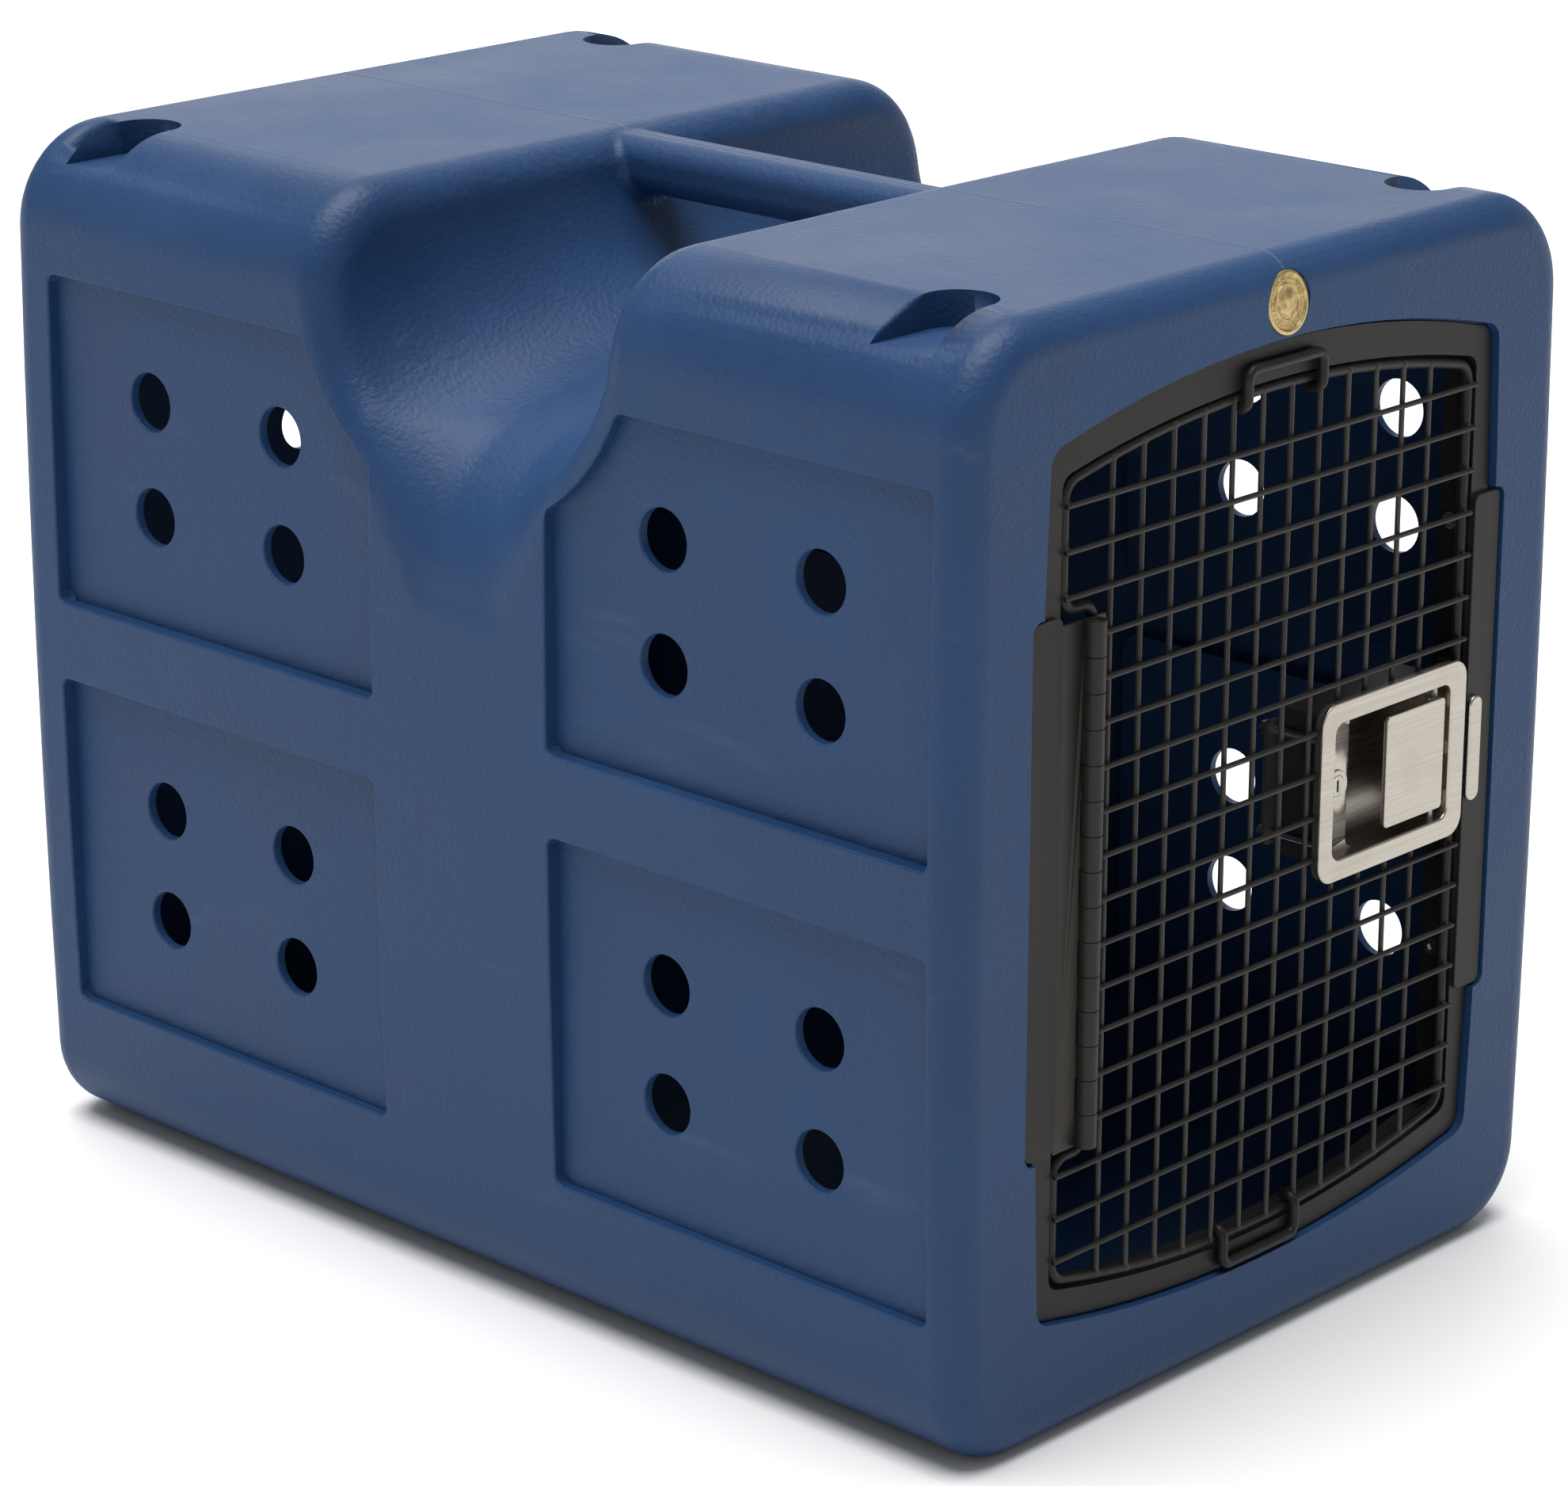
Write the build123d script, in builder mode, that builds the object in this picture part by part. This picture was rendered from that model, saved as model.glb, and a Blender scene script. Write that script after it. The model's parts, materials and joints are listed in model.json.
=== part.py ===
"""Dog kennel: a one-piece moulded shell with a steel framed, latched wire door.

Millimetres, +Z up, the door on the -Y face. The origin is on the floor, under the middle of the shell.
"""

import os
from math import cos, radians, sin, sqrt

from build123d import *

os.makedirs("parts", exist_ok=True)

# Shell
body_width = 532
body_length = 786
body_height = 646
wall = 6
side_bulge = 5
shoulder_radius = 62
sill_radius = 52
end_radius = 21

# Saddle and handle
saddle_centre_y = -8
saddle_half_width = 112
saddle_depth = 100
saddle_crown_radius = 700
saddle_corner_radius = 95
saddle_rim_radius = 24
handle_width = 38
handle_height = 34
handle_drop = 2
handle_corner_radius = 14
handle_root_radius = 7

# Side panels and vents
panel_depth = 9.5
panel_inner_y = 73
panel_end_gap = 31
panel_bottom_z = 90
panel_band_height = 49.5
panel_band_lift = 3.25
panel_top_drop = 85
panel_corner_radius = 6
panel_rim_radius = 1.5
panel_scallop_radius = 141
panel_scallop_drop = 30
vent_radius = 18
vent_pitch_y = 118
vent_pitch_z = 72
vent_rim_radius = 1.2
vent_lift = 1
rear_panel_width = 370
rear_vent_pitch_x = 84
rear_vent_columns = 4

# Strap pockets in the four top corners
pocket_width = 43
pocket_inset_x = 87
pocket_depth = 20
pocket_end_gap = 62

# Door frame
frame_thickness = 3
frame_face_depth = 4.5
frame_half_width = 194.5
frame_bottom_z = 78
frame_top_drop = 75
frame_side_bow = 6
frame_top_rise = 27
frame_bottom_drop = 22
frame_corner_radius = 10
frame_side_width = 12.2
frame_top_width = 15
frame_bottom_width = 14
frame_inner_rise = 21
frame_inner_radius = 9
frame_return_depth = 22
frame_clearance = 2
return_clearance = 1
collar_length = 16
side_plate_width = 24
side_plate_margin = 2
side_plate_shift = 3.5
side_plate_overhang = 12.5
side_plate_radius = 5
side_plate_chamfer = 0.4

# Wire door
rim_radius = 3.2
wire_radius = 1.6
mesh_pitch = 25.4
door_gap = 1.3
rim_corner_radius = 12
rim_jog_depth = 25.4
rim_jog_gap = 6
rim_jog_radius = 10
cross_overhang = 3
weld_gap = 0.02
stop_loop_half_width = 33
stop_loop_reach = 14.5
stop_loop_gap = 0.4
stop_loop_hook_radius = 6
stop_loop_hook_length = 10

# Hinge
hinge_end_gap = 95.5
knuckle_count = 15
knuckle_gap = 0.4
barrel_radius = 6
hinge_pin_radius = 3
running_clearance = 0.05
leaf_thickness = 2
leaf_gap = 0.5
hinge_offset = 17.8
door_leaf_reach = 13

# Latch pan
latch_width = 136
latch_height = 108
latch_side_gap = 4.9
latch_thickness = 1.8
latch_corner_radius = 12
gasket_thickness = 1.5
seat_margin = 1
seat_thickness = 3.2
dish_height = 82
dish_width = 86
dish_depth = 26
dish_radius = 7
dish_lip_radius = 1.4
pan_clearance = 0.3
dish_right_margin = 14.5
ledge_width = 23
ledge_depth = 9

# Paddle
paddle_width = 55
paddle_swing = 20
paddle_right_gap = 4.4
paddle_height = 68
paddle_thickness = 2
paddle_recess = 1
paddle_pin_radius = 2
paddle_pin_inset = 6.5
paddle_pin_depth = 8
paddle_hub_radius = 5
paddle_hub_length = 7
paddle_hub_offset = 29.5
paddle_lip_radius = 1.8
tail_length = 26
tail_height = 8
tail_window_left = 1.8
tail_window_right = 3.6
spring_wire_radius = 0.6
spring_pitch = 1.8
spring_length = 20
spring_bore_radius = 2.3

# Bolt, lock and housing
bolt_height = 18
bolt_thickness = 8
bolt_back_gap = 1.2
bolt_tip_gap = 2.4
bolt_tail_inset = 19.1
bolt_travel = 9
bolt_bevel = 5
bolt_clearance = 0.3
lock_shift = 1
lock_flange_radius = 9.5
lock_barrel_radius = 8.5
lock_plug_radius = 6.45
lock_length = 22
lock_proud = 1.2
key_slot_width = 1.8
key_slot_height = 7
cam_bolt_gap = 0.6
cam_width = 9
cam_thickness = 2
housing_wall = 1.5
housing_back_gap = 1
housing_radius = 3
stud_radius = 2.5
stud_offset_z = 31.5
stud_inset = 6
stud_tail = 2
nut_across_flats = 8
nut_height = 4.5
strap_width = 12
strap_thickness = 3
strap_overhang = 6
rivet_radius = 2
rivet_offset_x = 5
rivet_offset_z = 16

# Badge, strike and frame bolts
badge_radius = 18
badge_thickness = 3.5
badge_seat = 2.5
badge_rise = 21.5
badge_sink = 1.5
badge_tilt = 7
badge_rim_width = 2.6
badge_dish = 0.8
strike_width = 12
strike_height = 65
strike_thickness = 3
strike_inset = 5.5
strike_drop = 5
strike_rivet_radius = 2
strike_rivet_pitch = 42
frame_bolt_radius = 2.5
frame_bolt_head_radius = 5
frame_bolt_head_height = 2.5
frame_bolt_length = 9
frame_bolt_count = 4
frame_bolt_pitch = 88

# Places worked out from the sizes above
half_width = body_width / 2
half_length = body_length / 2
mid_height = body_height / 2
saddle_floor_z = body_height - saddle_depth
panel_outer_y = half_length - panel_end_gap
panel_top_z = body_height - panel_top_drop
panel_band_z = (panel_bottom_z + panel_top_z) / 2 + panel_band_lift
panel_lower_top_z = panel_band_z - panel_band_height / 2
panel_upper_bottom_z = panel_band_z + panel_band_height / 2
pocket_inner_x = half_width - pocket_inset_x
pocket_offset_y = half_length - pocket_end_gap
frame_height = body_height - frame_bottom_z - frame_top_drop
hinge_length = frame_height - 2 * hinge_end_gap
side_plate_height = hinge_length + 2 * side_plate_margin
side_plate_reach = frame_half_width + side_plate_overhang
rim_jog_half_height = hinge_length / 2 + rim_jog_gap
recess_floor_y = -half_length + frame_face_depth + frame_thickness
flange_front_y = recess_floor_y - frame_thickness
frame_top_z = frame_bottom_z + frame_height
door_centre_z = frame_bottom_z + frame_height / 2
panel_floor_x = half_width - panel_depth
rim_y = flange_front_y + rim_radius
cross_y = flange_front_y - wire_radius
upright_y = cross_y + 2 * wire_radius + weld_gap
opening_half_width = frame_half_width - frame_side_width
rim_half_width = opening_half_width - door_gap - rim_radius
opening_bottom_z = frame_bottom_z + frame_bottom_width
opening_top_z = frame_top_z - frame_top_width
jog_x = -rim_half_width + rim_jog_depth
upright_span = 2 * (-jog_x - rim_radius - wire_radius)
cross_span = opening_top_z - opening_bottom_z - 2 * (door_gap + rim_radius)
upright_count = 1 + int(upright_span / mesh_pitch)
cross_count = 1 + int(cross_span / mesh_pitch)
hinge_x = -rim_half_width + hinge_offset
hinge_y = flange_front_y - barrel_radius
knuckle_pitch = hinge_length / knuckle_count
frame_bolt_y = recess_floor_y + collar_length - wall
latch_right_x = opening_half_width - latch_side_gap
latch_x = latch_right_x - latch_width / 2
seat_back_y = cross_y + wire_radius
seat_front_y = seat_back_y - seat_thickness
gasket_front_y = seat_front_y - gasket_thickness
latch_front_y = gasket_front_y - latch_thickness
dish_right_x = latch_right_x - dish_right_margin
dish_left_x = dish_right_x - dish_width
ledge_left_x = dish_left_x - ledge_width
dish_floor_y = latch_front_y + dish_depth
dish_back_y = dish_floor_y + latch_thickness
ledge_floor_y = latch_front_y + ledge_depth
ledge_back_y = ledge_floor_y + latch_thickness
paddle_pin_x = dish_right_x - paddle_pin_inset
paddle_pin_y = latch_front_y + paddle_pin_depth
paddle_left_x = dish_right_x - paddle_right_gap - paddle_width
bolt_front_y = dish_back_y + bolt_back_gap
bolt_back_y = bolt_front_y + bolt_thickness
housing_back_y = bolt_back_y + housing_back_gap
lock_x = ledge_left_x + ledge_width / 2 + lock_shift
bolt_tail_x = dish_left_x + bolt_tail_inset
cam_reach = bolt_tail_x - bolt_travel - cam_bolt_gap - lock_x
strike_x = frame_half_width - strike_inset
strike_z = door_centre_z - strike_drop
strap_front_y = housing_back_y + housing_wall
housing_half_height = dish_height / 2 + latch_thickness + pan_clearance + housing_wall
housing_left_x = ledge_left_x - latch_thickness - pan_clearance - housing_wall
housing_right_x = dish_right_x + latch_thickness + pan_clearance + housing_wall
stud_places = [
    (latch_x + side * (latch_width / 2 - stud_inset), door_centre_z + level * stud_offset_z)
    for side in (-1, 1)
    for level in (-1, 1)
]


def save(part: Part, name: str) -> None:
    """Names a finished piece and writes it."""
    part.label = name
    export_step(part, f"parts/{name}.step")


def edges_on_both(part: Part, first: Part, second: Part) -> ShapeList:
    """The edges of a part whose middles lie on the skins of two other solids."""
    found = ShapeList()
    for edge in part.edges():
        middle = Vertex(edge @ 0.5)
        if all(min(face.distance_to(middle) for face in skin.faces()) < 0.01 for skin in (first, second)):
            found.append(edge)
    return found


# ---------------------------------------------------------------- shell


def body_block(inset: float) -> Part:
    """The bulged, round-edged block of the body, drawn in by an inset on every side."""
    reach_x = half_width - inset
    reach_y = half_length - inset
    low = inset
    high = body_height - inset
    with BuildPart() as block:
        with BuildSketch(Plane.XZ) as cross_section:
            with BuildLine():
                left = ThreePointArc(
                    (-reach_x + side_bulge, low), (-reach_x, mid_height), (-reach_x + side_bulge, high)
                )
                right = ThreePointArc(
                    (reach_x - side_bulge, low), (reach_x, mid_height), (reach_x - side_bulge, high)
                )
                Line(left @ 0, right @ 0)
                Line(left @ 1, right @ 1)
            make_face()
            fillet(cross_section.vertices().group_by(Axis.Y)[0], sill_radius - inset)
            fillet(cross_section.vertices().group_by(Axis.Y)[-1], shoulder_radius - inset)
        extrude(amount=reach_y, both=True)
        ends = block.faces().filter_by(Axis.Y)
        fillet(ends.edges(), end_radius - inset)
    return block.part


def saddle_cutter(grow: float) -> Part:
    """The trough across the middle: a round-cornered U turned about an axis along Y, so its floor is crowned."""
    axis_z = saddle_floor_z - saddle_crown_radius
    lip = saddle_depth + 2 * shoulder_radius
    trough_plane = Plane(origin=(0, saddle_centre_y, axis_z), x_dir=(0, 1, 0), z_dir=(-1, 0, 0))
    width = 2 * (saddle_half_width + grow)
    with BuildPart() as cutter:
        with BuildSketch(trough_plane) as trough:
            with Locations((0, saddle_crown_radius - grow)):
                Rectangle(width, lip + grow, align=(Align.CENTER, Align.MIN))
            fillet(trough.vertices().group_by(Axis.Z)[-1], saddle_corner_radius + grow)
        revolve(axis=Axis((0, saddle_centre_y, axis_z), (0, 1, 0)))
    return cutter.part


def saddled_block(inset: float) -> Part:
    """The block with the saddle cut across it and the saddle's rim rounded."""
    block = body_block(inset)
    cutter = saddle_cutter(inset)
    with BuildPart() as saddled:
        add(block)
        add(cutter, mode=Mode.SUBTRACT)
        fillet(edges_on_both(saddled.part, block, cutter), saddle_rim_radius - inset)
    return saddled.part


def panel_outline(rear: bool, upper: bool, grow: float) -> Sketch:
    """One side panel in the YZ plane. The upper ones are scalloped round the saddle."""
    low = panel_upper_bottom_z if upper else panel_bottom_z
    high = panel_top_z if upper else panel_lower_top_z
    side = 1 if rear else -1
    with BuildSketch(Plane.YZ) as outline:
        centre_y = saddle_centre_y + side * (panel_inner_y + panel_outer_y) / 2
        with Locations((centre_y, (low + high) / 2)):
            Rectangle(panel_outer_y - panel_inner_y, high - low)
        if upper:
            with Locations((saddle_centre_y, body_height - panel_scallop_drop)):
                Circle(panel_scallop_radius, mode=Mode.SUBTRACT)
        fillet(outline.vertices(), panel_corner_radius)
        if grow:
            offset(amount=grow)
    return outline.sketch


def panel_centres() -> list[tuple[float, float]]:
    """The middle of each of the four side panels, in Y and Z."""
    reach = (panel_inner_y + panel_outer_y) / 2
    heights = ((panel_bottom_z + panel_lower_top_z) / 2, (panel_upper_bottom_z + panel_top_z) / 2)
    return [(saddle_centre_y + side * reach, height) for side in (-1, 1) for height in heights]


def arched_outline(
    reach: float, low: float, high: float, bow: float, rise: float, drop: float, radius: float, grow: float = 0
) -> Sketch:
    """A tall outline in the XZ plane with bowed sides, an arched top and a sagging bottom."""
    middle = (low + high) / 2
    reach += grow
    low -= grow
    high += grow
    with BuildSketch(Plane.XZ) as outline:
        with BuildLine():
            if bow:
                ThreePointArc((-reach, low), (-reach - bow, middle), (-reach, high))
                ThreePointArc((reach, high), (reach + bow, middle), (reach, low))
            else:
                Line((-reach, low), (-reach, high))
                Line((reach, high), (reach, low))
            ThreePointArc((-reach, high), (0, high + rise), (reach, high))
            ThreePointArc((reach, low), (0, low - drop), (-reach, low))
        make_face()
        fillet(outline.vertices(), radius + grow)
    return outline.sketch


def frame_outline(grow: float) -> Sketch:
    """The outer edge of the door frame."""
    return arched_outline(
        frame_half_width,
        frame_bottom_z,
        frame_top_z,
        frame_side_bow,
        frame_top_rise,
        frame_bottom_drop,
        frame_corner_radius,
        grow,
    )


def opening_outline(grow: float) -> Sketch:
    """The inner edge of the door frame, which the door closes."""
    return arched_outline(
        opening_half_width,
        opening_bottom_z,
        opening_top_z,
        0,
        frame_inner_rise,
        frame_bottom_drop,
        frame_inner_radius,
        grow,
    )


def plate_recess(grow: float) -> Sketch:
    """The widened stretches of the frame's recess that take the two side plates."""
    with BuildSketch(Plane.XZ) as outline:
        for side in (-1, 1):
            with Locations((side * (side_plate_reach + grow) / 2, door_centre_z - side * side_plate_shift)):
                Rectangle(side_plate_reach + grow, side_plate_height + 2 * grow)
        fillet(outline.vertices().filter_by(lambda v: abs(v.X) > 1), side_plate_radius + grow)
    return outline.sketch


def strap_pocket(side_x: int, side_y: int, grow: float) -> Part:
    """One top corner's pocket: flat floored, round ended and open to the side."""
    width = pocket_width + 2 * grow
    inner = pocket_inner_x - grow
    with BuildPart() as pocket:
        with BuildSketch(Plane.XY.offset(body_height - pocket_depth - grow)):
            with Locations((side_x * (inner + width / 2), side_y * pocket_offset_y)):
                Circle(width / 2)
            with Locations((side_x * (inner + width / 2 + half_width / 2), side_y * pocket_offset_y)):
                Rectangle(half_width, width)
        extrude(amount=pocket_depth + 2 * grow + wall)
    return pocket.part


badge_plane = Plane(
    origin=(0, -half_length + badge_sink, frame_top_z + frame_top_rise + badge_rise),
    x_dir=(1, 0, 0),
    z_dir=(0, -cos(radians(badge_tilt)), sin(radians(badge_tilt))),
)


def frame_bolt_heights() -> list[float]:
    """The Z of each frame bolt up one side of the frame."""
    middle = (frame_bolt_count - 1) / 2
    return [door_centre_z + (index - middle) * frame_bolt_pitch for index in range(frame_bolt_count)]


def frame_bolt_bore(radius: float) -> Part:
    """The holes through both sides of the frame's return for its bolts."""
    with BuildPart() as bores:
        for height in frame_bolt_heights():
            with Locations((0, frame_bolt_y, height)):
                Cylinder(radius, 2 * (opening_half_width + 2 * wall), rotation=(0, 90, 0))
    return bores.part


def moved_sketch(outline: Sketch, y: float) -> Sketch:
    """An outline of the XZ plane set at a depth."""
    return Pos(0, y, 0) * outline


def vent_flare(side: int) -> Part:
    """The rounded mouth of a vent, opening along X."""
    reach = vent_rim_radius
    with BuildPart() as flare:
        with BuildSketch(Plane.XY):
            with BuildLine():
                Line((side * reach, 0), (-side * reach, 0))
                Line((-side * reach, 0), (-side * reach, vent_radius))
                ThreePointArc(
                    (-side * reach, vent_radius),
                    (-side * reach * (1 - sqrt(0.5)), vent_radius + reach * (1 - sqrt(0.5))),
                    (0, vent_radius + reach),
                )
                Line((0, vent_radius + reach), (side * reach, vent_radius + reach))
                Line((side * reach, vent_radius + reach), (side * reach, 0))
            make_face()
        revolve(axis=Axis.X)
    return flare.part


with BuildPart() as vents:
    for centre_y, centre_z in panel_centres():
        for step_y in (-0.5, 0.5):
            for step_z in (-0.5, 0.5):
                vent_y = centre_y + step_y * vent_pitch_y
                vent_z = centre_z + vent_lift + step_z * vent_pitch_z
                with Locations((0, vent_y, vent_z)):
                    Cylinder(vent_radius, body_width, rotation=(0, 90, 0))
                for side in (-1, 1):
                    add(Pos(side * panel_floor_x, vent_y, vent_z) * vent_flare(side))
    for row in (panel_centres()[0][1], panel_centres()[1][1]):
        for column in range(rear_vent_columns):
            for step_z in (-0.5, 0.5):
                vent_x = (column - (rear_vent_columns - 1) / 2) * rear_vent_pitch_x
                vent_z = row + vent_lift + step_z * vent_pitch_z
                with Locations((vent_x, half_length, vent_z)):
                    Cylinder(vent_radius, panel_depth * 4, rotation=(90, 0, 0))
                add(Pos(vent_x, half_length - panel_depth, vent_z) * Rot(0, 0, 90) * vent_flare(1))

with BuildPart() as handle_bar:
    with BuildSketch(Plane.XZ.offset(-saddle_centre_y)):
        with Locations((0, body_height - handle_drop - handle_height / 2)):
            RectangleRounded(handle_width, handle_height, handle_corner_radius)
    extrude(amount=saddle_half_width + saddle_rim_radius, both=True)

with BuildPart() as cabin:
    add(saddled_block(wall))
    for rear in (False, True):
        for upper in (False, True):
            for side in (-1, 1):
                pad = Pos(side * (panel_floor_x - wall), 0, 0) * panel_outline(rear, upper, wall)
                extrude(pad, amount=half_width, dir=(side, 0, 0), mode=Mode.SUBTRACT)
    for grown in (frame_outline(frame_clearance + wall), plate_recess(frame_clearance + wall)):
        extrude(moved_sketch(grown, recess_floor_y + wall), amount=wall * 4, dir=(0, -1, 0), mode=Mode.SUBTRACT)
    for side_x in (-1, 1):
        for side_y in (-1, 1):
            add(strap_pocket(side_x, side_y, wall), mode=Mode.SUBTRACT)
    with BuildSketch(badge_plane.offset(-badge_seat - wall / 2)):
        Circle(badge_radius + wall / 2)
    extrude(amount=wall * 4, mode=Mode.SUBTRACT)
    with BuildSketch(Plane.XZ.offset(-(half_length - panel_depth - wall))):
        with Locations((0, (panel_bottom_z + panel_top_z) / 2)):
            RectangleRounded(
                rear_panel_width + 2 * wall, panel_top_z - panel_bottom_z + 2 * wall, panel_corner_radius + wall
            )
    extrude(amount=wall * 4, dir=(0, 1, 0), mode=Mode.SUBTRACT)

with BuildPart() as kennel_shell:
    add(saddled_block(0))
    outer_skin = kennel_shell.part
    add(handle_bar.part)
    handle_roots = edges_on_both(kennel_shell.part, outer_skin, handle_bar.part)
    fillet(handle_roots, handle_root_radius)
    for rear in (False, True):
        for upper in (False, True):
            for side in (-1, 1):
                floor = Pos(side * panel_floor_x, 0, 0) * panel_outline(rear, upper, 0)
                extrude(floor, amount=half_width, dir=(side, 0, 0), mode=Mode.SUBTRACT)
                rims = kennel_shell.edges(Select.LAST).filter_by(
                    lambda edge: abs(edge.center().X) > panel_floor_x + panel_depth / 2 + 1
                )
                fillet(rims, panel_rim_radius)
    with BuildSketch(Plane.XZ.offset(-(half_length - panel_depth))):
        with Locations((0, (panel_bottom_z + panel_top_z) / 2)):
            RectangleRounded(rear_panel_width, panel_top_z - panel_bottom_z, panel_corner_radius)
    extrude(amount=wall * 4, dir=(0, 1, 0), mode=Mode.SUBTRACT)
    for side_x in (-1, 1):
        for side_y in (-1, 1):
            add(strap_pocket(side_x, side_y, 0), mode=Mode.SUBTRACT)
    for outline in (frame_outline(frame_clearance), plate_recess(frame_clearance)):
        extrude(moved_sketch(outline, recess_floor_y), amount=wall * 4, dir=(0, -1, 0), mode=Mode.SUBTRACT)
    with BuildSketch(badge_plane.offset(-badge_seat)):
        Circle(badge_radius + pan_clearance)
    extrude(amount=wall * 4, mode=Mode.SUBTRACT)
    add(cabin.part, mode=Mode.SUBTRACT)
    collar = moved_sketch(opening_outline(frame_thickness + return_clearance + wall), recess_floor_y)
    extrude(collar, amount=collar_length, dir=(0, 1, 0))
    doorway = moved_sketch(opening_outline(frame_thickness + return_clearance), recess_floor_y)
    extrude(doorway, amount=collar_length * 2, both=True, mode=Mode.SUBTRACT)
    add(frame_bolt_bore(frame_bolt_radius + running_clearance), mode=Mode.SUBTRACT)
    add(vents.part, mode=Mode.SUBTRACT)

save(kennel_shell.part, "kennel_shell")

# ---------------------------------------------------------------- badge

with BuildPart() as badge_plate:
    with BuildSketch(badge_plane.offset(-badge_seat)):
        Circle(badge_radius)
    extrude(amount=badge_thickness)
    with BuildSketch(badge_plane.offset(badge_thickness - badge_seat)):
        Circle(badge_radius - badge_rim_width)
    extrude(amount=-badge_dish, mode=Mode.SUBTRACT)
    face_plane = badge_plane.offset(badge_thickness - badge_seat - badge_dish)
    with BuildSketch(face_plane):
        Circle(badge_radius * 0.62)
        Circle(badge_radius * 0.54, mode=Mode.SUBTRACT)
        with PolarLocations(badge_radius * 0.3, 3, start_angle=90):
            Circle(badge_radius * 0.14)
    extrude(amount=badge_dish / 2)
    chamfer(badge_plate.faces().sort_by(Axis.Y)[0].outer_wire().edges(), badge_dish / 2)
save(badge_plate.part, "badge_plate")

# ---------------------------------------------------------------- door frame

with BuildPart() as door_frame:
    flange = moved_sketch(frame_outline(0), recess_floor_y)
    extrude(flange, amount=frame_thickness, dir=(0, -1, 0))
    lip = moved_sketch(opening_outline(frame_thickness), flange_front_y)
    extrude(lip, amount=frame_return_depth, dir=(0, 1, 0))
    window = moved_sketch(opening_outline(0), flange_front_y)
    extrude(window, amount=frame_return_depth * 2, both=True, mode=Mode.SUBTRACT)
    add(frame_bolt_bore(frame_bolt_radius + running_clearance), mode=Mode.SUBTRACT)
save(door_frame.part, "door_frame")

for side, name in ((-1, "hinge_side_plate"), (1, "latch_side_plate")):
    with BuildPart() as side_plate:
        height = door_centre_z - side * side_plate_shift
        with BuildSketch(Plane.XZ.offset(-flange_front_y)):
            with Locations((side * (side_plate_reach - side_plate_width / 2), height)):
                RectangleRounded(side_plate_width, side_plate_height, side_plate_radius)
        extrude(amount=frame_thickness)
        chamfer(side_plate.faces().sort_by(Axis.Y)[0].edges(), side_plate_chamfer)
        if side == 1:
            for level in (-1, 1):
                with Locations((strike_x, flange_front_y, strike_z + level * strike_rivet_pitch / 2)):
                    Cylinder(
                        strike_rivet_radius + running_clearance, wall * 2, rotation=(90, 0, 0), mode=Mode.SUBTRACT
                    )
    save(side_plate.part, name)

with BuildPart() as strike_plate:
    with BuildSketch(Plane.XZ.offset(-flange_front_y + frame_thickness)):
        with Locations((strike_x, strike_z)):
            SlotOverall(strike_height, strike_width, rotation=90)
    extrude(amount=strike_thickness)
    fillet(strike_plate.faces().sort_by(Axis.Y)[0].edges(), strike_thickness / 2)
    for level in (-1, 1):
        with Locations((strike_x, flange_front_y, strike_z + level * strike_rivet_pitch / 2)):
            Cylinder(strike_rivet_radius + running_clearance, wall * 4, rotation=(90, 0, 0), mode=Mode.SUBTRACT)
save(strike_plate.part, "strike_plate")

with BuildPart() as strike_rivets:
    for level in (-1, 1):
        with BuildSketch(Plane.XZ.offset(-flange_front_y)):
            with Locations((strike_x, strike_z + level * strike_rivet_pitch / 2)):
                Circle(strike_rivet_radius)
        extrude(amount=frame_thickness + strike_thickness)
save(strike_rivets.part, "strike_rivets")

with BuildPart() as frame_screws:
    for side in (-1, 1):
        for height in frame_bolt_heights():
            seat_x = side * (opening_half_width - frame_bolt_head_height / 2)
            with Locations((seat_x, frame_bolt_y, height)):
                Cylinder(frame_bolt_head_radius, frame_bolt_head_height, rotation=(0, 90, 0))
            shank_x = side * (opening_half_width + frame_bolt_length / 2 - frame_bolt_head_height / 2)
            with Locations((shank_x, frame_bolt_y, height)):
                Cylinder(frame_bolt_radius, frame_bolt_length + frame_bolt_head_height, rotation=(0, 90, 0))
    heads = frame_screws.faces().filter_by(Axis.X).filter_by(
        lambda face: abs(abs(face.center().X) - opening_half_width + frame_bolt_head_height) < 0.01
    )
    for face in heads:
        side = 1 if face.center().X > 0 else -1
        with BuildSketch(Plane(origin=face.center(), x_dir=(0, 1, 0), z_dir=(-side, 0, 0))):
            RegularPolygon(frame_bolt_radius, 6)
        extrude(amount=-frame_bolt_head_height / 2, mode=Mode.SUBTRACT)
save(frame_screws.part, "frame_screws")

# ---------------------------------------------------------------- hinge


def knuckle_spans(own: bool) -> list[tuple[float, float]]:
    """The bottom and top of each knuckle. The frame's leaf owns the first, third and so on."""
    start = door_centre_z - hinge_length / 2
    spans = []
    for index in range(knuckle_count):
        if (index % 2 == 0) == own:
            low = start + index * knuckle_pitch + (knuckle_gap / 2 if index else 0)
            high = start + (index + 1) * knuckle_pitch - (knuckle_gap / 2 if index < knuckle_count - 1 else 0)
            spans.append((low, high))
    return spans


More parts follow.
